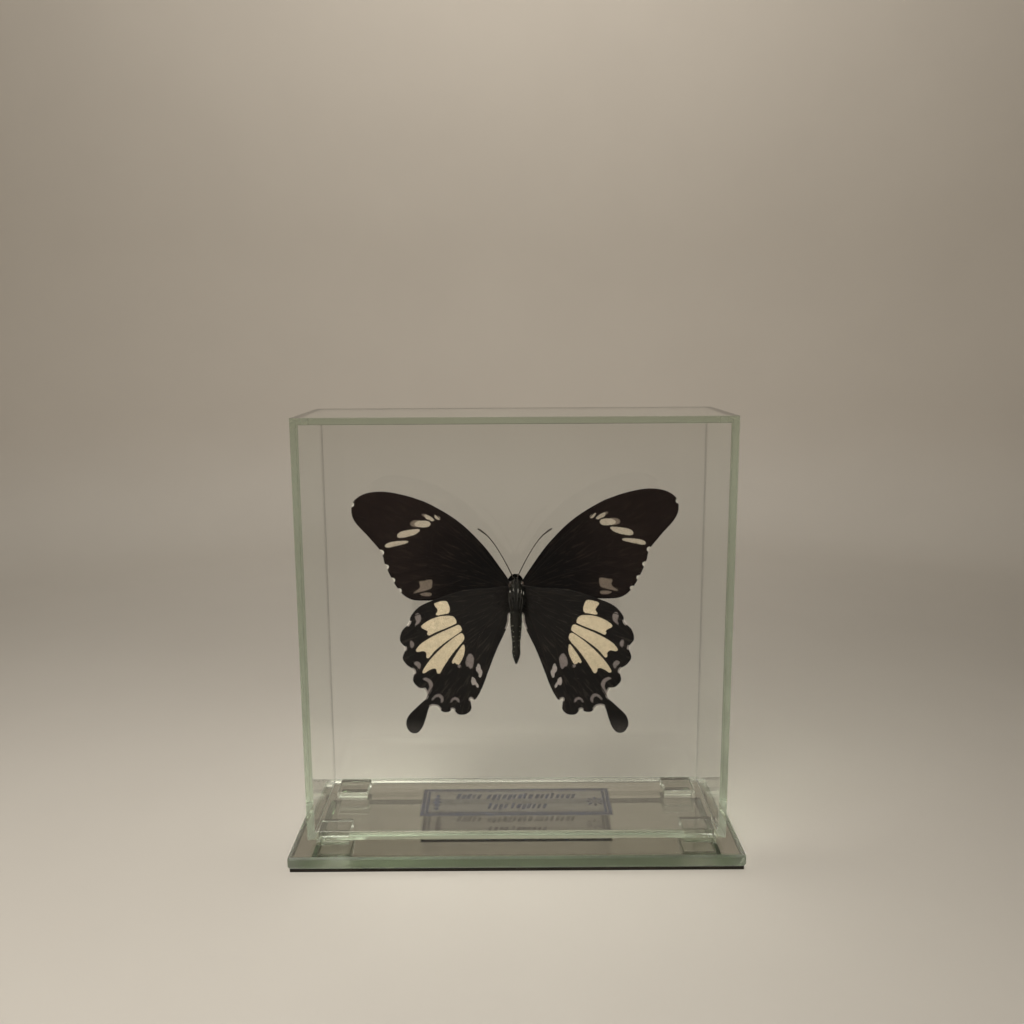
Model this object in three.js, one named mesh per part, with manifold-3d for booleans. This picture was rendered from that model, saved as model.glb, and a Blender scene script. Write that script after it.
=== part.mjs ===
// A set butterfly in a slim case of bonded float glass. The case stands on four small glass feet
// on a mirror plate. Millimetres, +Z up. The origin is the centre of the plate's underside, and
// the side that shows the specimen's underside faces -Y.

import * as THREE from 'three';
import { mergeVertices } from 'three/addons/utils/BufferGeometryUtils.js';
import Module from 'manifold-3d';

// ---- driving dimensions ----

// mirror plate: glass with a silvered and painted back
const PLATE = { width: 162, depth: 63, thickness: 5.6, cornerRadius: 3.5, arris: 0.7 };
const BACKING_THICKNESS = 1.2; // silver and paint, with the dark foam sheet that the plate stands on

// glass case: six panes, the front and back ones full size
const CASE = { width: 150, depth: 48, height: 151, pane: 2.4 };
const FRONT_MARGIN = 7; // plate edge to the front pane

// feet: small pads under the bottom pane
const FOOT = { side: 12, height: 3.1, arris: 0.4 };
const FRONT_FEET = { offsetX: 66.3, setback: 2 };
const BACK_FEET = { offsetX: 64.3, setback: 0.8 };

// label film on the underside of the bottom pane
const LABEL = { width: 72.9, depth: 22.6, thickness: 0.12, setback: 15.35 };

// butterfly: wing points are [distance from the body's axis, height above the specimen's centre]
const SPECIMEN_HEIGHT = 91.6; // above the plate's underside
const SPECIMEN_SHIFT = 0.27; // the body's axis, to the right of the case's middle
const SPECIMEN_SETBACK = 24; // front face of the case to the plane of the forewings
const WING_THICKNESS = 0.25;
const WING_GAP = 0.35; // between a forewing and the hindwing that laps it
const BODY_CLEARANCE = 0.3;

const FOREWING = [
  [1.5, 4.5], [6.1, 12.0], [12.6, 20.7], [21.6, 29.3], [33.4, 36.1], [45.3, 39.5], [53.1, 39.4],
  [57.8, 37.0], [59.3, 33.4], [58.2, 28.9], [53.1, 22.8], [49.0, 17.5], [47.8, 13.2], [45.8, 8.4],
  [43.3, 3.8], [40.2, 0.5], [35.8, -0.8], [24.0, -0.6], [12.0, -0.9], [1.5, -1.2],
];
const HINDWING = [
  [1.5, 3.9], [10.0, 3.8], [19.0, 3.0], [28.1, 0.1], [34.8, -2.8], [38.3, -6.6], [39.0, -9.2],
  [41.7, -12.3], [42.4, -15.8], [40.6, -18.8], [41.6, -22.4], [40.2, -25.0], [37.5, -27.4],
  [38.0, -31.2], [36.2, -33.7], [33.8, -34.6], [33.2, -37.8], [36.4, -41.2], [40.0, -45.0],
  [40.9, -48.4], [39.6, -51.2], [37.2, -51.7], [35.1, -49.6], [33.6, -45.6], [32.2, -41.6],
  [29.5, -41.2], [27.4, -43.4], [25.0, -43.4], [23.5, -42.4], [21.6, -44.4], [18.8, -44.4],
  [16.8, -42.4], [17.0, -38.4], [15.2, -38.6], [12.8, -34.0], [10.5, -27.4], [7.6, -19.4],
  [4.6, -12.2], [2.4, -6.4], [1.5, -4.0],
];
// how the setter left each wing: widened, lengthened, and turned up by so many radians
const WING_SET = {
  forewing_left: [1, 1, 0],
  forewing_right: [1, 1, 0.012],
  hindwing_left: [1.011, 1.006, 0],
  hindwing_right: [1.026, 1.012, 0],
};

// body: a round head, an oval thorax and a spindle-shaped abdomen, hung in front of the wings
const HEAD = { radiusX: 2.9, radiusY: 2.2, radiusZ: 2.0, height: 6.3 };
const THORAX = { radiusX: 3.6, radiusY: 3.9, radiusZ: 6.3, height: 1.4 };
const BODY_FORWARD = 1.3; // wing plane to the body's middle
const ABDOMEN = [
  [0, -25.4], [0.75, -24.3], [1.4, -21.8], [1.6, -18.0], [1.95, -13.0], [2.05, -9.0],
  [1.95, -5.0], [1.6, 0], [0, 1],
];

// antennae: [distance from the axis, height] of each one's middle line
const ANTENNA = [[0.9, 8.9], [2.6, 12.0], [4.6, 15.6], [7.2, 20.0], [9.8, 23.2], [12.0, 25.0], [13.6, 26.0]];
const ANTENNA_RADIUS = 0.22;
const ANTENNA_SIDES = 8;
const ANTENNA_STEPS = 24;

// clear rod that carries the thorax from the back pane
const ROD = { radius: 1.2, height: 1.0, padRadius: 3, padThickness: 0.6 };

// ---- worked-out places ----

const PLATE_FRONT = -PLATE.depth / 2;
const CASE_FRONT = PLATE_FRONT + FRONT_MARGIN;
const CASE_BACK = CASE_FRONT + CASE.depth;
const CASE_MIDDLE = (CASE_FRONT + CASE_BACK) / 2;
const CASE_BOTTOM = PLATE.thickness + FOOT.height;
const WING_PLANE = CASE_FRONT + SPECIMEN_SETBACK;
const BODY_MIDDLE = WING_PLANE - BODY_FORWARD;

// ---- materials ----

function finish(colour, roughness, metalness = 0) {
  return new THREE.MeshStandardMaterial({ color: colour, roughness, metalness });
}

const floatGlass = finish(0xcfe3d6, 0.05);
const plateGlass = finish(0x9fb0a2, 0.05);
const silver = finish(0x8f8f8a, 0.25, 1);
const film = finish(0x2b3a5a, 0.5);
const forewingScales = finish(0x1c1714, 0.85);
const hindwingScales = finish(0x2a2320, 0.85);
const chitin = finish(0x201d18, 0.6);
const acrylic = finish(0xe6ece8, 0.1);

// ---- solids ----

const wasm = await Module();
wasm.setup();

function toManifold(geometry) {
  const bare = geometry.index ? geometry.toNonIndexed() : geometry.clone();
  bare.deleteAttribute('normal');
  bare.deleteAttribute('uv');
  const merged = mergeVertices(bare, 1e-4);
  const mesh = new wasm.Mesh({
    numProp: 3,
    vertProperties: new Float32Array(merged.attributes.position.array),
    triVerts: new Uint32Array(merged.index.array),
  });
  return new wasm.Manifold(mesh);
}

function toGeometry(solid) {
  const mesh = solid.getMesh();
  const geometry = new THREE.BufferGeometry();
  geometry.setAttribute('position', new THREE.BufferAttribute(new Float32Array(mesh.vertProperties), 3));
  geometry.setIndex(new THREE.BufferAttribute(new Uint32Array(mesh.triVerts), 1));
  geometry.computeVertexNormals();
  return geometry;
}

function named(name, geometry, material, x = 0, y = 0, z = 0) {
  const mesh = new THREE.Mesh(geometry, material);
  mesh.name = name;
  mesh.position.set(x, y, z);
  return mesh;
}

function roundedRectangle(width, depth, radius) {
  const x = width / 2;
  const y = depth / 2;
  const shape = new THREE.Shape();
  shape.moveTo(-x + radius, -y);
  shape.lineTo(x - radius, -y);
  shape.absarc(x - radius, -y + radius, radius, -Math.PI / 2, 0);
  shape.lineTo(x, y - radius);
  shape.absarc(x - radius, y - radius, radius, 0, Math.PI / 2);
  shape.lineTo(-x + radius, y);
  shape.absarc(-x + radius, y - radius, radius, Math.PI / 2, Math.PI);
  shape.lineTo(-x, -y + radius);
  shape.absarc(-x + radius, -y + radius, radius, Math.PI, Math.PI * 1.5);
  return shape;
}

// A flat plate with its arrises ground off on both faces, standing on z = 0.
function groundPlate(width, depth, radius, thickness, arris) {
  const inner = roundedRectangle(width - 2 * arris, depth - 2 * arris, Math.max(radius - arris, 0.05));
  const geometry = new THREE.ExtrudeGeometry(inner, {
    depth: thickness - 2 * arris,
    bevelEnabled: true,
    bevelThickness: arris,
    bevelSize: arris,
    bevelSegments: 1,
    curveSegments: 6,
  });
  return geometry.translate(0, 0, arris);
}

// ---- mirror plate ----

function mirrorPlate() {
  const glassThickness = PLATE.thickness - BACKING_THICKNESS;
  const glass = groundPlate(PLATE.width, PLATE.depth, PLATE.cornerRadius, glassThickness, PLATE.arris);
  const inset = PLATE.arris;
  const backingShape = roundedRectangle(
    PLATE.width - 2 * inset, PLATE.depth - 2 * inset, PLATE.cornerRadius - inset,
  );
  const backing = new THREE.ExtrudeGeometry(backingShape, {
    depth: BACKING_THICKNESS, bevelEnabled: false, curveSegments: 6,
  });
  return [
    named('plate_glass', glass, plateGlass, 0, 0, BACKING_THICKNESS),
    named('plate_backing', backing, silver),
  ];
}

// ---- feet ----

function feet() {
  const pad = () => groundPlate(FOOT.side, FOOT.side, 0.45, FOOT.height, FOOT.arris);
  const frontY = CASE_FRONT + FRONT_FEET.setback + FOOT.side / 2;
  const backY = CASE_BACK - BACK_FEET.setback - FOOT.side / 2;
  const z = PLATE.thickness;
  return [
    named('foot_front_left', pad(), floatGlass, -FRONT_FEET.offsetX, frontY, z),
    named('foot_front_right', pad(), floatGlass, FRONT_FEET.offsetX, frontY, z),
    named('foot_back_left', pad(), floatGlass, -BACK_FEET.offsetX, backY, z),
    named('foot_back_right', pad(), floatGlass, BACK_FEET.offsetX, backY, z),
  ];
}

// ---- glass case ----

function glassCase() {
  const t = CASE.pane;
  const middleZ = CASE_BOTTOM + CASE.height / 2;
  const innerWidth = CASE.width - 2 * t;
  const innerDepth = CASE.depth - 2 * t;
  const face = () => new THREE.BoxGeometry(CASE.width, t, CASE.height);
  const side = () => new THREE.BoxGeometry(t, innerDepth, CASE.height);
  const lid = () => new THREE.BoxGeometry(innerWidth, innerDepth, t);
  const sideX = (CASE.width - t) / 2;
  return [
    named('pane_front', face(), floatGlass, 0, CASE_FRONT + t / 2, middleZ),
    named('pane_back', face(), floatGlass, 0, CASE_BACK - t / 2, middleZ),
    named('pane_left', side(), floatGlass, -sideX, CASE_MIDDLE, middleZ),
    named('pane_right', side(), floatGlass, sideX, CASE_MIDDLE, middleZ),
    named('pane_bottom', lid(), floatGlass, 0, CASE_MIDDLE, CASE_BOTTOM + t / 2),
    named('pane_top', lid(), floatGlass, 0, CASE_MIDDLE, CASE_BOTTOM + CASE.height - t / 2),
  ];
}

function label() {
  const sheet = new THREE.BoxGeometry(LABEL.width, LABEL.depth, LABEL.thickness);
  const y = CASE_FRONT + LABEL.setback + LABEL.depth / 2;
  return named('label_film', sheet, film, 0, y, CASE_BOTTOM - LABEL.thickness / 2);
}

// ---- butterfly ----

function ellipsoid(radiusX, radiusY, radiusZ, height, extra) {
  const ball = new THREE.SphereGeometry(1, 24, 16);
  ball.scale(radiusX + extra, radiusY + extra, radiusZ + extra);
  return ball.translate(SPECIMEN_SHIFT, BODY_MIDDLE, SPECIMEN_HEIGHT + height);
}

// The body as one solid, or with `extra` all round it to cut its clearance from a neighbour.
function bodySolid(extra) {
  const profile = ABDOMEN.map(([radius, height]) => new THREE.Vector2(radius ? radius + extra : 0, height));
  const abdomen = new THREE.LatheGeometry(profile, 20);
  abdomen.rotateX(Math.PI / 2);
  abdomen.translate(SPECIMEN_SHIFT, BODY_MIDDLE, SPECIMEN_HEIGHT);
  const head = ellipsoid(HEAD.radiusX, HEAD.radiusY, HEAD.radiusZ, HEAD.height, extra);
  const thorax = ellipsoid(THORAX.radiusX, THORAX.radiusY, THORAX.radiusZ, THORAX.height, extra);
  return toManifold(thorax).add(toManifold(head)).add(toManifold(abdomen));
}

function wing(name, points, side, frontY, material, clearance) {
  const [wide, long, turn] = WING_SET[name];
  const outline = points.map(([u, v]) => new THREE.Vector2(side * (u * wide - v * turn), v * long + u * turn));
  const shape = new THREE.Shape();
  shape.moveTo(outline[0].x, outline[0].y);
  shape.splineThru(outline.slice(1));
  const slab = new THREE.ExtrudeGeometry(shape, {
    depth: WING_THICKNESS, bevelEnabled: false, curveSegments: 2,
  });
  slab.rotateX(Math.PI / 2);
  slab.translate(SPECIMEN_SHIFT, frontY + WING_THICKNESS, SPECIMEN_HEIGHT);
  return named(name, toGeometry(toManifold(slab).subtract(clearance)), material);
}

function antenna(name, side) {
  const path = new THREE.CatmullRomCurve3(ANTENNA.map(
    ([u, v]) => new THREE.Vector3(SPECIMEN_SHIFT + side * u, BODY_MIDDLE, SPECIMEN_HEIGHT + v),
  ));
  const section = new THREE.Shape();
  section.absarc(0, 0, ANTENNA_RADIUS, 0, Math.PI * 2);
  const rod = new THREE.ExtrudeGeometry(section, {
    steps: ANTENNA_STEPS, extrudePath: path, curveSegments: ANTENNA_SIDES,
  });
  return named(name, rod, chitin);
}

function butterfly() {
  const clearance = bodySolid(BODY_CLEARANCE);
  const hindY = WING_PLANE - WING_GAP - WING_THICKNESS;
  const pieces = [named('body', toGeometry(bodySolid(0)), chitin)];
  for (const [hand, side] of [['left', -1], ['right', 1]]) {
    pieces.push(wing(`forewing_${hand}`, FOREWING, side, WING_PLANE, forewingScales, clearance));
    pieces.push(wing(`hindwing_${hand}`, HINDWING, side, hindY, hindwingScales, clearance));
    pieces.push(antenna(`antenna_${hand}`, side));
  }
  return pieces;
}

// The rod stands on a round pad on the back pane and stops just short of the thorax.
function support() {
  const paneFace = CASE_BACK - CASE.pane;
  const tip = BODY_MIDDLE + THORAX.radiusY + 0.05;
  const length = paneFace - ROD.padThickness - tip;
  const z = SPECIMEN_HEIGHT + ROD.height;
  const rod = new THREE.CylinderGeometry(ROD.radius, ROD.radius, length, 20);
  const pad = new THREE.CylinderGeometry(ROD.padRadius, ROD.padRadius, ROD.padThickness, 28);
  return [
    named('support_rod', rod, acrylic, SPECIMEN_SHIFT, tip + length / 2, z),
    named('support_pad', pad, acrylic, SPECIMEN_SHIFT, paneFace - ROD.padThickness / 2, z),
  ];
}

// ---- the whole object ----

const object = new THREE.Group();
object.add(...mirrorPlate(), ...feet(), ...glassCase(), label(), ...butterfly(), ...support());

export default object;
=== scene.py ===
"""A set butterfly in a slim case of bonded float glass, on glass feet over a mirror plate.

Metres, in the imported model's frame: +X right, +Y away, +Z up, on the plate's underside.
"""
import math
import random

import bmesh
import bpy
import numpy as np
from mathutils import Matrix, Vector
from mathutils.geometry import delaunay_2d_cdt


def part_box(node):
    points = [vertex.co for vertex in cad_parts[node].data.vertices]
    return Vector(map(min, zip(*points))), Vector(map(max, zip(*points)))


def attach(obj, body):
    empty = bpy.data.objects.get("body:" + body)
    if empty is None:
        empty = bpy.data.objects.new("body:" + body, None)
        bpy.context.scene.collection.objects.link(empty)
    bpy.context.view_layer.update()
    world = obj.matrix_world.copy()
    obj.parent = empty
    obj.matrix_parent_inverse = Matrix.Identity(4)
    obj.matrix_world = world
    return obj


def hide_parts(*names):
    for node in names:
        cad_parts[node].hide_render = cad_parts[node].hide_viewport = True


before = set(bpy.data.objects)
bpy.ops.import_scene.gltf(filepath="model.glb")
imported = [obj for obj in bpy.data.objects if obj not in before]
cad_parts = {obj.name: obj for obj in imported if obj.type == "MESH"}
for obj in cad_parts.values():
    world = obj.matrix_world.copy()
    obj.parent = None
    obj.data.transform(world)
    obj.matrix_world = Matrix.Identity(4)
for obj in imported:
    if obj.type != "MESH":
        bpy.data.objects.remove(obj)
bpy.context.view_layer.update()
MM = 0.001


# ---------------------------------------------------------------------------
# The room. A round table of pale paper runs up into a tall cove all round, so that every side
# has a plain ground. One soft lamp hangs above and in front and a second washes the paper
# behind. In reflections the paper before the case is painted near black: a painted dark
# reflection of the shaded room beyond a table's edge.

CAMERA_PLACE = (-1.778, -349.04, 183.68)
CAMERA_PITCH = 0.1709
CAMERA_YAW = 0.0022
CAMERA_ROLL = -0.0053
CAMERA_LENS = 34.27
TABLE_RADIUS = 0.55
COVE_RADIUS = 0.30
COVE_STEPS = 14
WALL_HEIGHT = 0.75
PAPER_DROP = 0.0001
KEY_LAMP = dict(place=(-0.16, -0.30, 0.50), aim=(-0.08, 0.05, 0.0), size=0.36, power=1.9, spread=150)
BACK_LAMP = dict(place=(0.0, 0.20, 1.00), aim=(0.0, 0.86, 0.68), size=0.50, power=2.6, spread=125)
LAMP_COLOUR = (1.0, 0.955, 0.89)
WORLD_COLOUR = (0.78, 0.76, 0.72)
WORLD_STRENGTH = 0.08
WALL_FOOT = 0.12
TABLE_EDGE_Y = -0.13
DARK_TOP = 0.20

scene = bpy.context.scene
scene.view_settings.view_transform = "Standard"
scene.cycles.max_bounces = 24
scene.cycles.transmission_bounces = 24
scene.cycles.transparent_max_bounces = 24
scene.cycles.glossy_bounces = 12


def deselect_all():
    """Leave object mode with nothing selected."""
    if bpy.context.object is not None and bpy.context.object.mode != "OBJECT":
        bpy.ops.object.mode_set(mode="OBJECT")
    bpy.ops.object.select_all(action="DESELECT")


def pick(piece, kind, test):
    """In edit mode, select the vertices, edges or faces whose middle passes the test."""
    bpy.ops.mesh.select_all(action="DESELECT")
    edit = bmesh.from_edit_mesh(piece.data)
    for part in getattr(edit, kind):
        if kind == "verts":
            middle = part.co
        elif kind == "edges":
            middle = (part.verts[0].co + part.verts[1].co) / 2
        else:
            middle = part.calc_center_median()
        part.select_set(bool(test(part, middle)))
    edit.select_flush_mode()
    bmesh.update_edit_mesh(piece.data)


def blank_material(name):
    """A node material, with its node tree and its Principled BSDF."""
    material = bpy.data.materials.new(name)
    material.use_nodes = True
    return material, material.node_tree, material.node_tree.nodes["Principled BSDF"]


def feed(tree, node, inputs):
    """Give a node's sockets plain values, or link them to other nodes' outputs."""
    for name, value in inputs.items():
        socket = node.inputs[name]
        if isinstance(value, bpy.types.NodeSocket):
            tree.links.new(value, socket)
        elif socket.type == "RGBA":
            socket.default_value = (*value, 1)
        else:
            socket.default_value = value


def new_node(tree, kind, inputs, **settings):
    """A shader node with its settings made and its sockets fed."""
    node = tree.nodes.new("ShaderNode" + kind)
    for name, value in settings.items():
        setattr(node, name, value)
    feed(tree, node, inputs)
    return node


def own_place(tree):
    """The piece's own coordinates."""
    return new_node(tree, "TexCoord", {}).outputs["Object"]


def noise(tree, vector, scale, detail=3.0, roughness=0.55):
    """A noise pattern's value at a place."""
    inputs = {"Vector": vector, "Scale": scale, "Detail": detail, "Roughness": roughness}
    return new_node(tree, "TexNoise", inputs).outputs["Fac"]


def remap(tree, value, low, high, to_low=0.0, to_high=1.0, smooth=False):
    """A value moved from one range to another, clamped at its ends."""
    inputs = {"Value": value, "From Min": low, "From Max": high, "To Min": to_low, "To Max": to_high}
    kind = "SMOOTHSTEP" if smooth else "LINEAR"
    return new_node(tree, "MapRange", inputs, interpolation_type=kind).outputs["Result"]


def mix(tree, factor, first, second, blend="MIX"):
    """Two colours mixed; on the node they are inputs 6 and 7, and output 2."""
    inputs = {"Factor": factor, 6: first, 7: second}
    return new_node(tree, "Mix", inputs, data_type="RGBA", blend_type=blend).outputs[2]


def math_value(tree, operation, *operands):
    """A Math node's result."""
    return new_node(tree, "Math", dict(enumerate(operands)), operation=operation).outputs["Value"]


def camera_axes(pitch, yaw, roll):
    """The camera's axes for its tilt down, its turn to the right and its lean."""
    forward = Vector((
        math.sin(yaw) * math.cos(pitch), math.cos(yaw) * math.cos(pitch), -math.sin(pitch),
    ))
    right = Vector((math.cos(yaw), -math.sin(yaw), 0))
    up = right.cross(forward)
    rolled_right = right * math.cos(roll) + up * math.sin(roll)
    rolled_up = up * math.cos(roll) - right * math.sin(roll)
    return Matrix((rolled_right, rolled_up, -forward)).transposed()


deselect_all()
bpy.ops.object.camera_add()
camera = bpy.context.object
camera.name = "camera"
camera.data.sensor_width = 36
camera.data.lens = CAMERA_LENS
camera.data.clip_start = 0.01
camera.data.clip_end = 20
turn = camera_axes(CAMERA_PITCH, CAMERA_YAW, CAMERA_ROLL)
camera.matrix_world = Matrix.Translation(Vector(CAMERA_PLACE) * MM) @ turn.to_4x4()
scene.camera = camera

deselect_all()
bpy.ops.mesh.primitive_circle_add(
    vertices=128, radius=TABLE_RADIUS, fill_type="TRIFAN", location=(0, 0, -PAPER_DROP),
)
sweep = bpy.context.object
sweep.name = "paper_sweep"
bpy.ops.object.mode_set(mode="EDIT")
pick(sweep, "edges", lambda edge, middle: edge.is_boundary)
radius = TABLE_RADIUS
height = 0.0
for step in range(1, COVE_STEPS + 1):
    angle = math.pi / 2 * step / COVE_STEPS
    new_radius = TABLE_RADIUS + COVE_RADIUS * math.sin(angle)
    new_height = COVE_RADIUS * (1 - math.cos(angle))
    bpy.ops.mesh.extrude_edges_move(TRANSFORM_OT_translate={"value": (0, 0, new_height - height)})
    scale = new_radius / radius
    bpy.ops.transform.resize(value=(scale, scale, 1), center_override=(0, 0, 0))
    radius = new_radius
    height = new_height
bpy.ops.mesh.extrude_edges_move(TRANSFORM_OT_translate={"value": (0, 0, WALL_HEIGHT)})
bpy.ops.mesh.select_all(action="SELECT")
bpy.ops.mesh.faces_shade_smooth()
bpy.ops.object.mode_set(mode="OBJECT")
bpy.ops.object.transform_apply(location=True, rotation=True, scale=True)

paper, tree, shader = blank_material("backdrop_paper")
place = own_place(tree)
axes = new_node(tree, "SeparateXYZ", {"Vector": place}).outputs
tone = mix(tree, noise(tree, place, 9.0, 4.0), (0.655, 0.622, 0.566), (0.705, 0.672, 0.612))
# painted shade: the paper is painted darker, and a little warmer, up the wall, where less lamp light
# falls
up_the_wall = remap(tree, axes["Z"], 0.0, WALL_FOOT, smooth=True)
painted_wall_shade = mix(tree, up_the_wall, (1.0, 1.0, 1.0), (0.86, 0.835, 0.81))
shaded = mix(tree, 1.0, tone, painted_wall_shade, "MULTIPLY")
# painted dark reflection: where the paper in front of the case and low down is seen in a reflection, it
# is painted near black
in_front = remap(tree, axes["Y"], TABLE_EDGE_Y, TABLE_EDGE_Y - 0.03)
low_down = remap(tree, axes["Z"], DARK_TOP, DARK_TOP - 0.05)
path = new_node(tree, "LightPath", {}).outputs
mirrored = math_value(tree, "COMPARE", path["Glossy Depth"], 1.0, 0.1)
near_pane = math_value(tree, "LESS_THAN", path["Transmission Depth"], 2.5)
dark_part = math_value(tree, "MULTIPLY", in_front, low_down)
seen_in_pane = math_value(tree, "MULTIPLY", mirrored, near_pane)
painted_dark_reflection = math_value(tree, "MULTIPLY", dark_part, seen_in_pane)
feed(tree, shader, {
    "Base Color": mix(tree, painted_dark_reflection, shaded, (0.02, 0.02, 0.02)),
    "Roughness": 0.9, "Specular IOR Level": 0.2,
})
sweep.data.materials.append(paper)

for name, lamp in (("key_lamp", KEY_LAMP), ("back_lamp", BACK_LAMP)):
    deselect_all()
    aim = Vector(lamp["aim"]) - Vector(lamp["place"])
    bpy.ops.object.light_add(
        type="AREA", location=lamp["place"], rotation=aim.to_track_quat("-Z", "Y").to_euler(),
    )
    light = bpy.context.object
    light.name = name
    light.data.shape = "DISK"
    light.data.size = lamp["size"]
    light.data.energy = lamp["power"]
    light.data.spread = math.radians(lamp["spread"])
    light.data.color = LAMP_COLOUR

world = bpy.data.worlds.new("room_light")
world.use_nodes = True
sky = world.node_tree.nodes["Background"]
feed(world.node_tree, sky, {"Color": WORLD_COLOUR, "Strength": WORLD_STRENGTH})
scene.world = world


# ---------------------------------------------------------------------------
# The mirror plate: 4.4 mm float glass with rounded corners. Its rim and arrises are ground on a
# wet belt, which leaves them frosted. Its back is silvered. Below that, a thin sheet painted near
# black stands in as painted shade for the shadow gap between the plate and the table.

PLATE_CORNER = 3.5 * MM
PLATE_ARRIS = 0.7 * MM
CORNER_STEPS = 7
SILVER_GAP = 0.001 * MM
GLASS_IOR = 1.52
PLATE_TINT = (0.16, 0.30, 0.06)
PLATE_DENSITY = 30.0


def new_group(name, inputs, outputs):
    """A shader node group with its sockets made, what its input node puts out, and its output node."""
    group = bpy.data.node_groups.new(name, "ShaderNodeTree")
    for label, kind, value in inputs:
        socket = group.interface.new_socket(label, in_out="INPUT", socket_type=kind)
        socket.default_value = value
    for label, kind in outputs:
        group.interface.new_socket(label, in_out="OUTPUT", socket_type=kind)
    return group, group.nodes.new("NodeGroupInput").outputs, group.nodes.new("NodeGroupOutput")


def attribute(tree, name, output="Fac"):
    """An attribute that the mesh stores."""
    return new_node(tree, "Attribute", {}, attribute_name=name).outputs[output]


def bump(tree, height, distance, strength=1.0):
    """A normal lifted by a height; the distance is in mm."""
    inputs = {"Height": height, "Distance": distance * MM, "Strength": strength}
    return new_node(tree, "Bump", inputs).outputs["Normal"]


def handled_glass_group():
    """Wiped glass: clear with faint smears and lint, and frosted where its face is ground."""
    group, source, result = new_group(
        "handled_glass",
        [
            ("Clear Roughness", "NodeSocketFloat", 0.0),
            ("Smear Roughness", "NodeSocketFloat", 0.02),
            ("Ground Roughness", "NodeSocketFloat", 0.45),
            ("Smear Scale", "NodeSocketFloat", 45.0),
            ("Lint", "NodeSocketFloat", 0.06),
        ],
        [("Roughness", "NodeSocketFloat"), ("Tint", "NodeSocketColor"), ("Height", "NodeSocketFloat")],
    )
    place = own_place(group)
    smeared = remap(group, noise(group, place, source["Smear Scale"], 3.0), 0.52, 0.78)
    wiped = new_node(group, "Mix", {
        "Factor": smeared, "A": source["Clear Roughness"], "B": source["Smear Roughness"],
    })
    ground = attribute(group, "ground")
    frosted = new_node(group, "Mix", {
        "Factor": ground, "A": wiped.outputs["Result"], "B": source["Ground Roughness"],
    })
    specks = remap(group, noise(group, place, 900.0, 1.0), 0.70, 0.80)
    amount = math_value(group, "MULTIPLY", specks, source["Lint"])
    feed(group, result, {
        "Roughness": frosted.outputs["Result"],
        "Tint": mix(group, amount, (1.0, 1.0, 1.0), (0.62, 0.60, 0.55)),
        "Height": math_value(group, "MULTIPLY", noise(group, place, 2600.0, 2.0), ground),
    })
    return group


handled_glass = handled_glass_group()


def glass_material(name, tint, density, ground_roughness=0.45, smear_roughness=0.015, lamp_tone=0.93):
    """Float glass that takes its green from the length of the path inside it."""
    material, tree, shader = blank_material(name)
    marks = new_node(tree, "Group", {
        "Ground Roughness": ground_roughness, "Smear Roughness": smear_roughness,
    }, node_tree=handled_glass).outputs
    feed(tree, shader, {
        "Base Color": marks["Tint"], "Roughness": marks["Roughness"], "Metallic": 0.0,
        "Transmission Weight": 1.0, "IOR": GLASS_IOR,
        "Normal": bump(tree, marks["Height"], 0.05, 0.25),
    })
    open_air = new_node(tree, "BsdfTransparent", {"Color": (lamp_tone, lamp_tone, lamp_tone)})
    either = new_node(tree, "MixShader", {
        "Fac": new_node(tree, "LightPath", {}).outputs["Is Shadow Ray"],
        1: shader.outputs["BSDF"], 2: open_air.outputs["BSDF"],
    })
    body = new_node(tree, "VolumeAbsorption", {"Color": tint, "Density": density})
    feed(tree, tree.nodes["Material Output"], {
        "Surface": either.outputs["Shader"], "Volume": body.outputs["Volume"],
    })
    return material


def add_block(name, low, high):
    """A box between two corners, selected, with its place in its mesh."""
    deselect_all()
    low = Vector(low)
    high = Vector(high)
    bpy.ops.mesh.primitive_cube_add(size=1, location=(low + high) / 2, scale=high - low)
    block = bpy.context.object
    block.name = name
    block.data.name = name
    bpy.ops.object.transform_apply(location=True, rotation=True, scale=True)
    return block


def round_corners(block, corner):
    """Bevel the four upright edges of a block."""
    bpy.ops.object.mode_set(mode="EDIT")
    pick(block, "edges", lambda edge, middle: abs(edge.verts[0].co.z - edge.verts[1].co.z) > 1e-5)
    bpy.ops.mesh.bevel(offset=corner, segments=CORNER_STEPS, affect="EDGES")
    bpy.ops.object.mode_set(mode="OBJECT")


def grind_arrises(block, width, test):
    """Take a flat arris off the edges that pass the test."""
    bpy.ops.object.mode_set(mode="EDIT")
    pick(block, "edges", test)
    bpy.ops.mesh.bevel(offset=width, segments=1, affect="EDGES")
    bpy.ops.object.mode_set(mode="OBJECT")


def mark_ground(block, test):
    """Store 1 in the face attribute "ground" where a face passes the test."""
    layer = block.data.attributes.new("ground", "FLOAT", "FACE")
    for face in block.data.polygons:
        layer.data[face.index].value = 1.0 if test(face) else 0.0


plate_low, plate_high = (Vector(corner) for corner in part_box("plate_glass"))
plate = add_block("mirror_plate_glass", plate_low, plate_high)
round_corners(plate, PLATE_CORNER)
grind_arrises(
    plate, PLATE_ARRIS,
    lambda edge, middle: abs(edge.verts[0].co.z - edge.verts[1].co.z) < 1e-6 and edge.is_manifold
    and min(abs(middle.z - plate_low.z), abs(middle.z - plate_high.z)) < 1e-6,
)
mark_ground(plate, lambda face: abs(face.normal.z) < 0.98)
plate_glass = glass_material("float_glass_plate", PLATE_TINT, PLATE_DENSITY, 0.55)
plate.data.materials.append(plate_glass)
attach(plate, "root")
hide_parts("plate_glass")

back_low, back_high = (Vector(corner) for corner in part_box("plate_backing"))
back_high.z -= SILVER_GAP
backing = add_block("mirror_backing", back_low, back_high)
round_corners(backing, PLATE_CORNER - PLATE_ARRIS)

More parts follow.
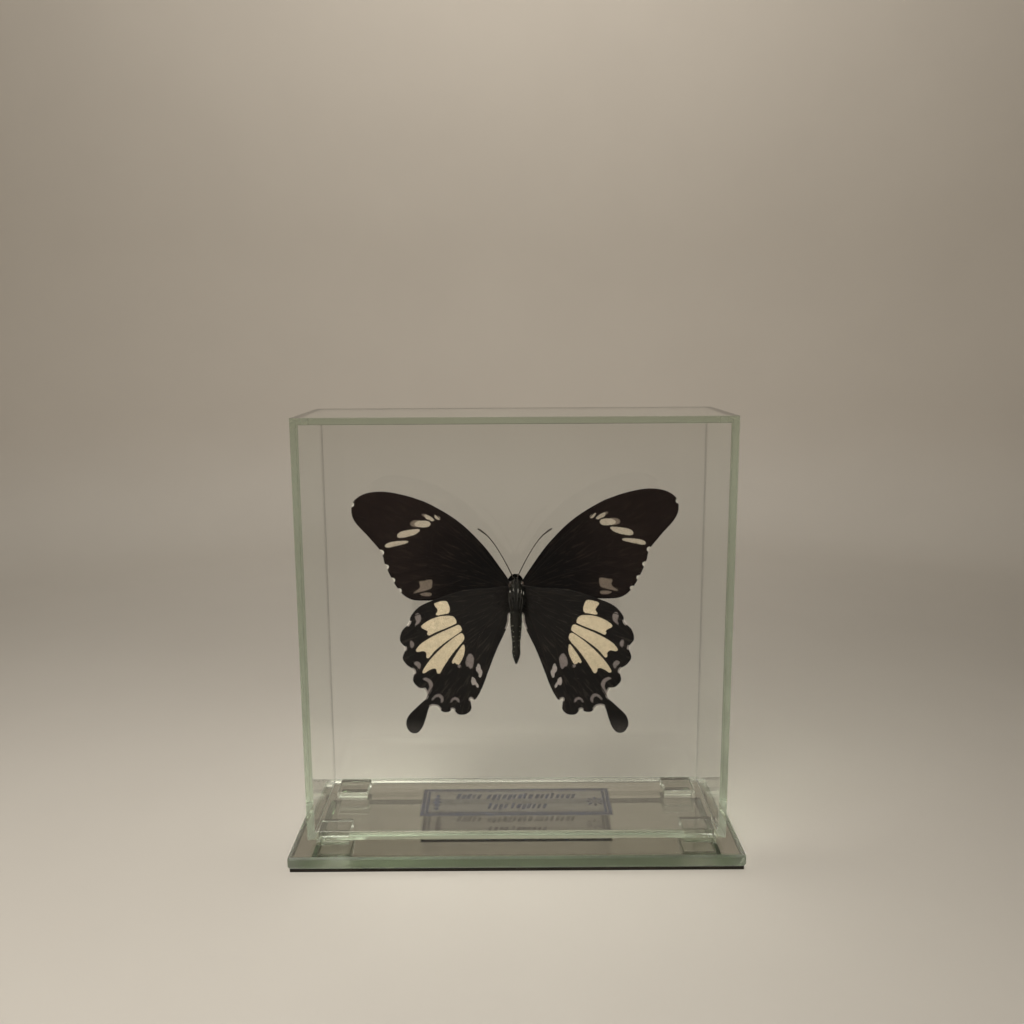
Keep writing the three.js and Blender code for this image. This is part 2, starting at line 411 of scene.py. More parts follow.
silver, tree, shader = blank_material("silver_coat")
haze = noise(tree, own_place(tree), 60.0, 5.0)
feed(tree, shader, {
    "Base Color": mix(tree, haze, (0.590, 0.565, 0.540), (0.630, 0.605, 0.575)),
    "Roughness": remap(tree, haze, 0.3, 0.8, 0.01, 0.05), "Metallic": 1.0,
})

gap_shade_paint, tree, shader = blank_material("painted_shadow_gap_sheet")
place = own_place(tree)
shade_mottle = noise(tree, place, 120.0, 4.0)
cells = new_node(tree, "TexVoronoi", {"Vector": place, "Scale": 3000.0}).outputs["Distance"]
# painted shade: the backing's sides and underside are painted near black for the shadow in the gap under
# the plate
feed(tree, shader, {
    "Base Color": mix(tree, shade_mottle, (0.012, 0.011, 0.008), (0.036, 0.032, 0.024)),
    "Roughness": 0.9, "Specular IOR Level": 0.2, "Normal": bump(tree, cells, 0.10),
})
backing.data.materials.append(silver)
backing.data.materials.append(gap_shade_paint)
for face in backing.data.polygons:
    face.material_index = 0 if face.normal.z > 0.5 else 1
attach(backing, "root")
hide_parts("plate_backing")


# ---------------------------------------------------------------------------
# The feet: four pads nipped from the same glass, their cut sides left bright. Nipping has shelled
# small chips off the edges, most of all on the right back foot. Clear resin holds them, so each
# foot's glass runs on into its neighbours by the thickness of the glue line.

FOOT_ARRIS = 0.30 * MM
GLUE_LINE = 0.02 * MM
CASE_TINT = (0.10, 0.37, 0.04)
CASE_DENSITY = 10.0
# each chip: place along x and y, as a share of the half side, then height share, and radius in mm
FOOT_CHIPS = {
    "foot_front_left": [(-1.0, 0.35, 1.0, 1.0), (0.8, -1.0, 0.0, 0.8), (1.0, 1.0, 1.0, 1.1)],
    "foot_front_right": [(1.0, -0.2, 1.0, 0.9), (-1.0, 0.7, 1.0, 1.0), (-0.4, -1.0, 1.0, 0.7)],
    "foot_back_left": [(1.0, -0.9, 1.0, 1.2), (1.0, 0.1, 0.0, 0.9), (0.2, 1.0, 1.0, 1.0)],
    "foot_back_right": [
        (-1.0, -0.95, 1.0, 1.5), (-1.0, -0.55, 0.9, 1.2), (-1.0, -0.15, 1.0, 1.5),
        (-1.0, 0.3, 0.95, 1.1), (-1.0, 0.7, 1.0, 1.4), (0.9, -1.0, 1.0, 1.0),
    ],
}
CHIP_FLATNESS = 0.55
CHIP_OUTWARD = 0.25

foot_glass = glass_material("float_glass_feet", CASE_TINT, CASE_DENSITY, 0.3)


def make_active(*pieces):
    """Select only these pieces, with the first of them active."""
    deselect_all()
    for piece in pieces:
        piece.select_set(True)
    bpy.context.view_layer.objects.active = pieces[0]


def chip_foot(foot, low, high, chips):
    """Shell shallow chips out of a foot with flattened balls."""
    middle = (low + high) / 2
    half = (high - low) / 2
    for number, (along, across, up, size) in enumerate(chips):
        place = middle + Vector((along * half.x, across * half.y, (2 * up - 1) * half.z))
        outward = Vector((along if abs(along) == 1.0 else 0, across if abs(across) == 1.0 else 0, 0))
        place += outward.normalized() * size * MM * CHIP_OUTWARD
        deselect_all()
        bpy.ops.mesh.primitive_ico_sphere_add(subdivisions=3, radius=size * MM, location=place)
        ball = bpy.context.object
        ball.scale = (CHIP_FLATNESS, 1.0, 0.9) if abs(along) == 1.0 else (1.0, CHIP_FLATNESS, 0.9)
        ball.rotation_euler = (0.3 * number, 0.4, 0.7 * number)
        bpy.ops.object.transform_apply(location=True, rotation=True, scale=True)
        make_active(foot)
        cut = foot.modifiers.new("chip", "BOOLEAN")
        cut.operation = "DIFFERENCE"
        cut.solver = "EXACT"
        cut.object = ball
        bpy.ops.object.modifier_apply(modifier=cut.name)
        bpy.data.objects.remove(ball, do_unlink=True)


for node_name, chips in FOOT_CHIPS.items():
    low, high = (Vector(corner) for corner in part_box(node_name))
    low.z -= GLUE_LINE
    high.z += GLUE_LINE
    foot = add_block("glass_" + node_name, low, high)
    grind_arrises(foot, FOOT_ARRIS, lambda edge, middle: True)
    chip_foot(foot, low, high, chips)
    mark_ground(foot, lambda face: False)
    foot.data.materials.clear()
    foot.data.materials.append(foot_glass)
    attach(foot, "root")
    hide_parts(node_name)


# ---------------------------------------------------------------------------
# The case: six panes of 2.4 mm float glass, bonded edge to face with clear resin that takes the
# glass's own index, so the panes are one shell. The resin leaves a thin fillet in each corner,
# and the side walls' lower edges are left as they were ground, so they show frosted.

PANE = 2.4 * MM
CASE_ARRIS = 0.05 * MM
FILLET = 0.10 * MM


def join_pieces(name, *pieces):
    """Join pieces into the first of them, and name it."""
    make_active(*pieces)
    bpy.ops.object.join()
    pieces[0].name = name
    pieces[0].data.name = name
    return pieces[0]


case_glass = glass_material("float_glass_case", CASE_TINT, CASE_DENSITY, 0.4, 0.008, 0.95)
case_low = Vector(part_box("pane_front")[0])
case_high = Vector(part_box("pane_back")[1])
case = add_block("glass_case", case_low, case_high)
grind_arrises(case, CASE_ARRIS, lambda edge, middle: True)
bpy.ops.object.mode_set(mode="EDIT")
pick(case, "faces", lambda face, middle: face.normal.z < -0.99)
bpy.ops.mesh.inset(thickness=PANE - CASE_ARRIS)
bpy.ops.object.mode_set(mode="OBJECT")
wall = Vector((PANE, PANE, PANE))
cavity = add_block("case_cavity", case_low + wall, case_high - wall)
bpy.ops.object.mode_set(mode="EDIT")
bpy.ops.mesh.select_all(action="SELECT")
bpy.ops.mesh.bevel(offset=FILLET, segments=2, affect="EDGES")
bpy.ops.mesh.select_all(action="SELECT")
bpy.ops.mesh.flip_normals()
bpy.ops.object.mode_set(mode="OBJECT")
join_pieces("glass_case", case, cavity)
mark_ground(
    case, lambda face: face.normal.z < -0.99 and face.center.z < case_low.z + PANE / 2
    and min(face.center.x - case_low.x, case_high.x - face.center.x) < PANE,
)
case.data.materials.append(case_glass)
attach(case, "root")
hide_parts("pane_front", "pane_back", "pane_left", "pane_right", "pane_bottom", "pane_top")


# ---------------------------------------------------------------------------
# The label: a clear film stuck under the bottom pane, printed in dark blue. A double frame runs
# round two rows of slanted strokes, with a rosette at one end and a lozenge chain at the other.
# A hair of air is left between the print and the pane, so the pane still guides light to its edge.

film_low, film_high = (Vector(corner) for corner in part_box("label_film"))
FILM_RISE = -0.04 * MM
INK_RISE = -0.02 * MM
INK_DEPTH = 0.06 * MM
OUTER_LINE = dict(inset=0.50 * MM, ends=1.25 * MM, far=1.20 * MM, near=1.45 * MM)
INNER_LINE = dict(inset=2.20 * MM, ends=0.95 * MM, far=0.45 * MM, near=0.60 * MM)
STROKE_ROWS = [
    # distance from the film's middle to the far side, stroke height, words as (start, strokes)
    (4.4, 3.6, [(-23.4, 5), (-11.6, 9), (7.0, 8)]),
    (-3.6, 3.6, [(-11.0, 4), (-2.2, 7)]),
]
STROKE_PITCH = 2.00
STROKE_WIDTH = 1.20
STROKE_SLANT = 0.9
ROSETTE = dict(place=(30.3, 0.0), petals=8, size=1.25)
LOZENGES = dict(place=(-30.3, 0.0), pitch=2.6, size=1.5)
FILM_ARRIS = 0.02 * MM


def ink_outline(mesh, corners, top, depth):
    """Add one flat printed shape, a thin prism."""
    upper = [mesh.verts.new((x, y, top)) for x, y in corners]
    lower = [mesh.verts.new((x, y, top - depth)) for x, y in corners]
    mesh.faces.new(upper)
    mesh.faces.new(list(reversed(lower)))
    count = len(corners)
    for first in range(count):
        second = (first + 1) % count
        mesh.faces.new((upper[second], upper[first], lower[first], lower[second]))


def bar(left, right, near, far, slant=0.0):
    """The corners of a printed bar, its far end shifted sideways."""
    return [(left, near), (right, near), (right + slant, far), (left + slant, far)]


def link_object(name, data):
    """A new object in the scene."""
    piece = bpy.data.objects.new(name, data)
    scene.collection.objects.link(piece)
    return piece


ink_mesh = bmesh.new()
ink_shapes = []
for line in (OUTER_LINE, INNER_LINE):
    left = film_low.x + line["inset"]
    right = film_high.x - line["inset"]
    near = film_low.y + line["inset"]
    far = film_high.y - line["inset"]
    inner_near = near + line["near"]
    inner_far = far - line["far"]
    ink_shapes.extend([
        bar(left, right, near, inner_near), bar(left, right, inner_far, far),
        bar(left, left + line["ends"], inner_near, inner_far),
        bar(right - line["ends"], right, inner_near, inner_far),
    ])
film_middle = ((film_low + film_high) / 2).to_2d()
rng = random.Random(5)
for row, height, words in STROKE_ROWS:
    for start, strokes in words:
        for stroke in range(strokes):
            left = film_middle.x + (start + stroke * STROKE_PITCH) * MM
            right = left + STROKE_WIDTH * rng.uniform(0.8, 1.35) * MM
            near = film_middle.y + (row - height / 2 - rng.choice((0, 0, 0, 0.9))) * MM
            far = film_middle.y + (row + height / 2 + rng.choice((0, 0, 0.9))) * MM
            ink_shapes.append(bar(left, right, near, far, STROKE_SLANT * MM))
hub = Vector([middle + offset * MM for middle, offset in zip(film_middle, ROSETTE["place"])])
for petal in range(ROSETTE["petals"]):
    angle = 2 * math.pi * petal / ROSETTE["petals"]
    along = Vector((math.cos(angle), math.sin(angle)))
    side = Vector((-along.y, along.x))
    ink_shapes.append([
        tuple(hub + (along * radial + side * sideways) * ROSETTE["size"] * MM)
        for radial, sideways in ((0.9, 0), (2.1, -0.5), (3.2, 0), (2.1, 0.5))
    ])
hub = Vector([middle + offset * MM for middle, offset in zip(film_middle, LOZENGES["place"])])
for link in range(-2, 3):
    place = hub + Vector((0, link * LOZENGES["pitch"] * MM))
    size = LOZENGES["size"] * (1.3 - 0.25 * abs(link)) * MM
    ink_shapes.append([
        (place.x + across * size, place.y + away * size)
        for across, away in ((0, -1), (1, 0), (0, 1), (-1, 0))
    ])
for shape in ink_shapes:
    ink_outline(ink_mesh, shape, film_high.z + INK_RISE, INK_DEPTH)
ink_data = bpy.data.meshes.new("label_ink")
ink_mesh.to_mesh(ink_data)
ink_mesh.free()
label_ink = link_object("label_ink", ink_data)

ink, tree, shader = blank_material("blue_label_ink")
screen = noise(tree, own_place(tree), 3800.0, 1.0)
feed(tree, shader, {
    "Base Color": mix(tree, screen, (0.002, 0.006, 0.022), (0.008, 0.016, 0.044)),
    "Roughness": 0.6, "Specular IOR Level": 0.0,
})
label_ink.data.materials.append(ink)
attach(label_ink, "root")

film, tree, shader = blank_material("label_film_clear")
silvering = noise(tree, own_place(tree), 160.0, 4.0)
feed(tree, shader, {
    "Base Color": mix(tree, silvering, (0.034, 0.037, 0.044), (0.066, 0.071, 0.080)),
    "Alpha": remap(tree, silvering, 0.45, 0.75, 0.23, 0.30),
    "Roughness": 0.6, "Specular IOR Level": 0.0,
})
label = add_block("label_film_sheet", film_low, film_high + Vector((0, 0, FILM_RISE)))
grind_arrises(label, FILM_ARRIS, lambda edge, middle: True)
label.data.materials.append(film)
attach(label, "root")
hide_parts("label_film")


# ---------------------------------------------------------------------------
# The wings: dry membrane on hollow veins, under a nap of scales. The hindwings lap in front of
# the forewings. Their rims carry a short fringe, white where the scallops are notched.

SPECIMEN_X = 0.27
SPECIMEN_Z = 91.6
FOREWING_Y = -0.50
HINDWING_Y = -1.10
WING_SHEET = 0.14
MESH_STEP = 0.50

# outlines and markings are [distance from the body's axis, height above the specimen's centre], mm
FOREWING_RIM = [
    (1.5, 4.5), (6.1, 12.0), (12.6, 20.7), (21.6, 29.3), (33.4, 36.1), (45.3, 39.5), (53.1, 39.4),
    (57.8, 37.0), (59.3, 33.4), (58.2, 28.9), (53.1, 22.8), (49.0, 17.5), (47.8, 13.2), (45.8, 8.4),
    (43.3, 3.8), (40.2, 0.5), (35.8, -0.8), (24.0, -0.6), (12.0, -0.9), (1.5, -1.2),
]
HINDWING_RIM = [
    (1.5, 3.9), (10.0, 3.8), (19.0, 3.0), (28.1, 0.1), (34.8, -2.8), (38.3, -6.6), (39.0, -9.2),
    (41.7, -12.3), (42.4, -15.8), (40.6, -18.8), (41.6, -22.4), (40.2, -25.0), (37.5, -27.4),
    (38.0, -31.2), (36.2, -33.7), (33.8, -34.6), (33.2, -37.8), (36.4, -41.2), (40.0, -45.0),
    (40.9, -48.4), (39.6, -51.2), (37.2, -51.7), (35.1, -49.6), (33.6, -45.6), (32.2, -41.6),
    (29.5, -41.2), (27.4, -43.4), (25.0, -43.4), (23.5, -42.4), (21.6, -44.4), (18.8, -44.4),
    (16.8, -42.4), (17.0, -38.4), (15.2, -38.6), (12.6, -34.0), (10.2, -27.4), (7.2, -19.4),
    (3.9, -12.2), (2.75, -9.0), (2.45, -6.2), (1.5, -4.5),
]
# how the setter left each wing: widened, lengthened, and turned up by so many radians
WING_SET = {
    ("forewing", "left"): (1.0, 1.0, 0.0), ("forewing", "right"): (1.0, 1.0, 0.012),
    ("hindwing", "left"): (1.011, 1.006, 0.0), ("hindwing", "right"): (1.026, 1.012, 0.0),
}
FOREWING_VEINS = [
    [(2.5, 4.6), (9.0, 11.6), (16.0, 18.6), (22.0, 23.1), (28.0, 26.2)],
    [(2.5, 3.0), (10.0, 6.0), (18.0, 8.6), (27.5, 10.8), (29.6, 13.4), (30.7, 17.5), (30.5, 20.6),
     (29.8, 23.6), (28.0, 26.2)],
    [(5.0, 8.6), (12.0, 17.2), (20.0, 25.4), (27.5, 31.8)],
    [(20.0, 21.8), (25.5, 27.6), (29.8, 32.0), (36.0, 36.9)],
    [(28.0, 26.2), (29.8, 29.9), (34.0, 32.2), (42.0, 36.2), (49.5, 39.4)],
    [(29.2, 25.2), (31.2, 29.1), (37.5, 29.6), (47.0, 33.0), (57.4, 36.9)],
    [(29.9, 23.4), (34.0, 26.3), (40.5, 26.2), (50.0, 28.6), (58.6, 31.2)],
    [(30.4, 20.7), (36.0, 22.4), (44.5, 21.9), (50.0, 23.0), (55.4, 25.4)],
    [(30.6, 17.6), (38.0, 18.9), (45.0, 18.8), (50.2, 19.2)],
    [(30.3, 15.6), (38.0, 14.4), (47.0, 12.9)],
    [(29.3, 13.0), (37.0, 10.8), (45.1, 8.8)],
    [(25.8, 10.3), (34.0, 7.9), (42.8, 4.7)],
    [(17.0, 8.3), (25.0, 4.9), (33.0, 2.5), (39.3, 1.1)],
    [(2.5, 1.6), (14.0, 1.7), (26.0, 0.7), (36.4, -0.2)],
]
HINDWING_VEINS = [
    [(2.5, 3.0), (10.0, 2.4), (17.0, 1.0), (23.0, -1.0)],
    [(31.0, -4.4), (37.6, -6.6)],
    [(2.5, 1.8), (12.0, -0.3), (19.0, -4.3)],
    [(19.0, -4.3), (23.3, -6.1), (30.2, -6.9), (36.5, -10.4), (42.0, -14.9)],
    [(19.0, -4.3), (20.4, -8.0), (19.6, -11.8), (18.3, -15.6), (16.2, -18.6)],
    [(20.2, -8.8), (25.8, -11.5), (31.9, -14.2), (37.0, -18.0), (41.5, -21.9)],
    [(19.4, -12.4), (22.4, -14.3), (26.0, -17.2), (30.0, -20.7), (32.6, -23.4), (38.0, -30.2)],
    [(18.3, -15.6), (21.2, -19.4), (24.6, -24.2), (28.8, -30.4), (32.7, -37.0), (35.6, -42.6),
     (38.4, -48.6)],
    [(16.6, -18.0), (18.5, -21.4), (20.4, -26.0), (23.4, -35.0), (26.0, -43.2)],
    [(2.5, 0.4), (9.0, -7.2), (13.0, -13.8), (16.2, -18.6)],
    [(13.6, -14.6), (15.1, -22.0), (16.3, -29.0), (18.2, -36.0), (20.4, -44.1)],
    [(3.0, -1.5), (7.0, -12.0), (11.0, -24.0), (13.2, -32.0), (15.6, -38.8)],
]
FOREWING_CREAM = [
    [(29.4, 31.0), (28.5, 30.7), (27.5, 30.0), (27.6, 29.4), (28.3, 29.5), (29.1, 30.3)],
    [(32.9, 31.1), (31.8, 31.0), (30.7, 30.3), (29.6, 29.4), (30.2, 28.9), (31.6, 29.3), (32.6, 30.2)],
    [(36.5, 28.0), (35.3, 28.7), (33.0, 28.9), (31.5, 28.5), (31.0, 27.7), (31.8, 26.9), (33.6, 26.7),
     (35.6, 26.9), (36.4, 27.3)],
    [(42.8, 24.0), (41.2, 25.0), (37.9, 25.6), (35.1, 25.8), (35.0, 25.3), (36.4, 24.2), (39.1, 23.3),
     (41.5, 22.9), (42.8, 23.1)],
    [(47.4, 20.1), (45.8, 20.9), (42.8, 21.4), (39.6, 21.5), (39.2, 21.1), (41.0, 20.5), (44.0, 19.8),
     (46.4, 19.3), (47.3, 19.5)],
]
FOREWING_GREY = [
    [(35.4, 6.3), (34.0, 6.6), (31.0, 7.0), (30.7, 5.6), (31.1, 3.8), (32.9, 3.0), (35.3, 2.4),
     (37.5, 1.9), (37.6, 2.2), (35.9, 3.4), (35.1, 4.4), (35.3, 5.4)],
    [(35.2, 1.6), (34.1, 2.1), (31.7, 2.1), (31.0, 1.7), (31.4, 0.9), (33.5, 0.8), (34.8, 1.2)],
    [(38.3, 28.0), (37.2, 29.0), (34.8, 29.3), (34.6, 28.0), (35.2, 26.7), (37.6, 27.0)],
    [(34.0, 31.3), (32.8, 31.6), (31.6, 31.0), (32.4, 30.2), (33.4, 30.6)],
]
FOREWING_NOTCHES = [
    (59.2, 35.2, 0.9), (49.0, 17.4, 1.0), (47.4, 12.0, 1.0), (45.2, 6.9, 1.0), (42.8, 3.0, 0.9),
]
HINDWING_CREAM = [
    [(29.6, -2.1), (28.1, -1.4), (25.8, -1.0), (24.9, -1.8), (24.3, -3.8), (24.6, -5.3), (26.4, -5.8),
     (28.5, -6.2), (29.1, -5.9), (28.4, -4.7), (28.6, -3.8)],
    [(34.4, -10.3), (32.5, -8.8), (29.4, -7.3), (25.8, -6.6), (23.4, -6.8), (22.3, -7.6), (21.9, -8.9),
     (22.4, -9.6), (25.8, -11.1), (29.5, -12.6), (31.7, -13.8), (32.4, -13.3), (32.1, -12.4),
     (33.2, -11.6), (34.3, -11.0)],
    [(36.6, -19.6), (35.2, -17.6), (32.7, -15.7), (28.9, -13.6), (25.2, -11.9), (22.1, -10.5),
     (20.9, -10.1), (20.2, -10.8), (20.0, -12.0), (22.3, -13.8), (26.0, -16.4), (29.7, -19.5),
     (32.2, -22.4), (32.8, -22.0), (32.8, -20.6), (34.0, -19.7), (35.8, -20.0)],
    [(34.4, -27.8), (32.8, -25.0), (30.3, -21.9), (27.1, -18.6), (23.4, -15.4), (20.6, -13.4),
     (19.5, -13.5), (19.1, -14.9), (19.8, -16.4), (22.3, -19.3), (24.8, -22.7), (27.0, -26.2),
     (28.3, -28.4), (29.1, -28.0), (29.4, -26.7), (30.7, -26.5), (32.6, -27.4), (33.8, -28.2)],
    [(23.5, -24.0), (22.3, -21.8), (20.8, -19.4), (19.4, -17.6), (19.0, -18.7), (19.2, -21.0),
     (20.1, -23.2), (21.1, -24.9), (22.1, -24.6), (22.5, -24.1), (23.2, -24.6)],
]
HINDWING_GREY = [
    [(18.6, -24.3), (18.1, -22.3), (17.1, -20.9), (16.0, -21.6), (15.5, -23.3), (15.8, -25.4),
     (16.6, -26.9), (17.5, -26.0), (18.3, -25.7)],
    [(36.6, -5.9), (35.6, -5.4), (34.7, -6.6), (34.9, -8.5), (35.9, -9.6), (37.0, -10.3), (36.4, -8.6),
     (36.8, -7.2)],
    [(38.8, -16.2), (38.2, -15.9), (37.4, -17.0), (37.6, -18.1), (38.2, -18.7), (38.7, -18.0)],
    [(37.4, -24.2), (36.2, -23.8), (35.1, -24.8), (35.3, -26.2), (35.8, -26.8), (36.5, -25.7),
     (37.3, -25.0)],
    [(34.5, -30.6), (33.3, -30.1), (31.6, -31.0), (30.8, -32.7), (31.2, -34.8), (32.1, -36.4),
     (33.5, -37.7), (33.8, -37.1), (32.6, -35.1), (32.1, -33.5), (32.6, -31.9), (33.6, -31.2)],
    [(31.4, -38.6), (30.0, -36.9), (28.4, -36.5), (27.2, -37.5), (27.0, -39.0), (27.7, -40.1),
     (28.0, -39.6), (28.0, -38.5), (28.8, -37.6), (29.9, -37.9), (30.9, -38.9)],
    [(24.5, -39.8), (23.8, -38.3), (22.6, -37.8), (21.4, -38.4), (21.0, -39.9), (21.6, -39.7),
     (22.4, -38.8), (23.3, -38.9), (24.0, -39.8)],
    [(21.2, -24.9), (20.3, -25.6), (20.4, -26.4), (21.5, -26.0)],
]
HINDWING_WHITE = [
    [(13.95, -24.6), (13.3, -25.5), (13.0, -26.9), (12.5, -27.8), (12.7, -29.1), (13.2, -30.2),
     (13.8, -29.9), (13.9, -28.6), (14.6, -27.7), (14.8, -26.6), (14.4, -25.5)],
    [(16.2, -29.9), (15.1, -30.8), (14.8, -31.9), (14.1, -32.8), (13.9, -34.1), (14.7, -33.9),
     (15.1, -32.8), (16.0, -33.2), (16.6, -32.1), (16.5, -30.8)],
]
HINDWING_NOTCHES = [
    (39.0, -9.4, 1.2), (40.6, -18.8, 0.9), (37.5, -27.4, 1.3), (33.4, -36.4, 2.5), (30.0, -41.3, 2.4),
    (23.5, -42.5, 1.0), (16.9, -38.2, 1.2), (3.2, -8.4, 3.2),
]
WHITE_DEPTH = 0.56
CREAM_SPREAD = 0.14
RIM_STEP = 0.35
PATCH_STEP = 0.3
VEIN_FLANK = 0.24
VEIN_LIFT = 0.035
VEIN_HALF = 0.16
MEMBRANE_DIP = 0.03
MESH_JITTER = 0.08
OUTSIDE = -9.0


def curve_through(points, step, closed=True):
    """Points every `step` along a smooth curve through the given ones."""
    knots = [Vector(point) for point in points]
    count = len(knots)
    spans = count if closed else count - 1
    places = []
    for index in range(spans):
        if closed:
            before, start, end, after = (knots[(index + shift) % count] for shift in (-1, 0, 1, 2))
        else:
            start = knots[index]
            end = knots[index + 1]
            before = knots[index - 1] if index else start * 2 - end
            after = knots[index + 2] if index + 2 < count else end * 2 - start
        pieces = max(1, round((end - start).length / step))
        for piece in range(pieces):
            t = piece / pieces
            places.append(0.5 * (
                2 * start + (end - before) * t + (2 * before - 5 * start + 4 * end - after) * t * t
                + (3 * start - before - 3 * end + after) * t ** 3
            ))
    if not closed:
        places.append(knots[-1])
    return np.array([tuple(place) for place in places])


def edge_distance(places, starts, ends):
    """Distance from each place to the nearest of the straight edges."""
    along = ends - starts
    offset = places[:, None] - starts[None]
    share = (offset * along).sum(2) / np.maximum((along * along).sum(1), 1e-12)
    nearest = offset - along * np.clip(share, 0, 1)[..., None]
    return np.sqrt((nearest * nearest).sum(2)).min(1)


def inside_ring(places, ring):
    """Whether each place lies inside a ring."""
    ends = np.roll(ring, -1, 0)
    x = places[:, 0][:, None]
    y = places[:, 1][:, None]
    spans = (ring[:, 1] > y) != (ends[:, 1] > y)
    rise = np.where(np.abs(ends[:, 1] - ring[:, 1]) < 1e-12, 1e-12, ends[:, 1] - ring[:, 1])
    crossing = ring[:, 0] + (y - ring[:, 1]) * (ends[:, 0] - ring[:, 0]) / rise
    return ((spans & (x < crossing)).sum(1) % 2).astype(bool)


def depth_inside(places, ring):
    """Signed distance to a ring in mm, above zero inside it."""
    distance = edge_distance(places, ring, np.roll(ring, -1, 0))
    return np.where(inside_ring(places, ring), distance, -distance)


def marking_depth(places, patches):
    """The deepest signed distance into any of a group of patches."""
    best = np.full(len(places), OUTSIDE)
    for patch in patches:
        best = np.maximum(best, depth_inside(places, curve_through(patch, PATCH_STEP)))
    return best


def set_place(kind, hand, u, y, v):
    """Where a point of a wing comes in the room, in metres, as that wing was set."""
    wide, long, turn = WING_SET[kind, hand]
    side = 1 if hand == "right" else -1
    across = SPECIMEN_X + side * (u * wide - v * turn)
    return (across * MM, y * MM, (SPECIMEN_Z + v * long + u * turn) * MM)


def camber(u, v):
    """How far the dry wing bows out of its plane, in mm: lowest half way out, its tip curling."""
    reach = u / 60.0
    return 0.35 * math.sin(reach * 2.6) - 0.55 * reach ** 3 + 0.10 * math.sin(v * 0.16 + u * 0.07)


def notched(rim, notches):
    """Pull the rim in towards the wing at each notch (place and width)."""
    middle = rim.mean(0)
    result = rim.copy()
    for u, v, width in notches:
        gap = np.linalg.norm(rim - np.array((u, v)), axis=1)
        pull = np.clip(1 - gap / width, 0, None) * 0.9
        inward = middle - rim
        inward /= np.linalg.norm(inward, axis=1)[:, None]
        result += inward * pull[:, None]
    return result


def wing_points(rim, veins, seed):
    """Rim, vein and membrane points with the rim's face and the veins' edges."""
    rng = random.Random(seed)
    flat = [tuple(point) for point in rim]
    edges = []
    vein_lines = [curve_through(vein, MESH_STEP, closed=False) for vein in veins]
    starts = np.concatenate([line[:-1] for line in vein_lines])
    ends = np.concatenate([line[1:] for line in vein_lines])
    for line in vein_lines:
        kept = line[depth_inside(line, rim) > 0.12]
        first = len(flat)
        flat.extend(tuple(point) for point in kept)
        edges.extend((first + index, first + index + 1) for index in range(len(kept) - 1))
        heading = np.gradient(kept, axis=0)
        heading /= np.linalg.norm(heading, axis=1)[:, None]
        side = np.stack([-heading[:, 1], heading[:, 0]], 1)
        for sign in (-VEIN_FLANK, VEIN_FLANK):
            shifted = kept + side * sign
            clear = edge_distance(shifted, starts, ends) > 0.2
            clear &= depth_inside(shifted, rim) > 0.15
            flat.extend(tuple(point) for point in shifted[clear])
    low = rim.min(0)
    high = rim.max(0)
    cells = []
    row = 0
    v = low[1]
    while v < high[1]:
        u = low[0] + (MESH_STEP / 2 if row % 2 else 0)
        while u < high[0]:
            jitter = (rng.uniform(-MESH_JITTER, MESH_JITTER), rng.uniform(-MESH_JITTER, MESH_JITTER))
            cells.append((u + jitter[0], v + jitter[1]))
            u += MESH_STEP
        v += MESH_STEP * 0.866
        row += 1
    cells = np.array(cells)
    clear = depth_inside(cells, rim) > 0.25
    clear &= edge_distance(cells, starts, ends) > 0.42
    flat.extend(tuple(point) for point in cells[clear])
    return flat, edges, starts, ends


def notch_depth(places, to_rim, notches):
    """Signed depth into the white edging, a thin strip along the rim round each notch."""
    best = np.full(len(places), OUTSIDE)
    for u, v, reach in notches:
        best = np.maximum(best, reach - np.hypot(places[:, 0] - u, places[:, 1] - v))
    return np.minimum(best, WHITE_DEPTH - to_rim)


def mesh_object(name, points, faces, edges=()):
    """A new object from its points and faces."""
    mesh = bpy.data.meshes.new(name)
    mesh.from_pydata(points, edges, faces)
    mesh.update()
    return link_object(name, mesh)


def store_values(mesh, name, numbers):
    """Store a number at each point of a mesh."""
    layer = mesh.attributes.new(name, "FLOAT", "POINT")
    layer.data.foreach_set("value", np.asarray(numbers, dtype=np.float32))


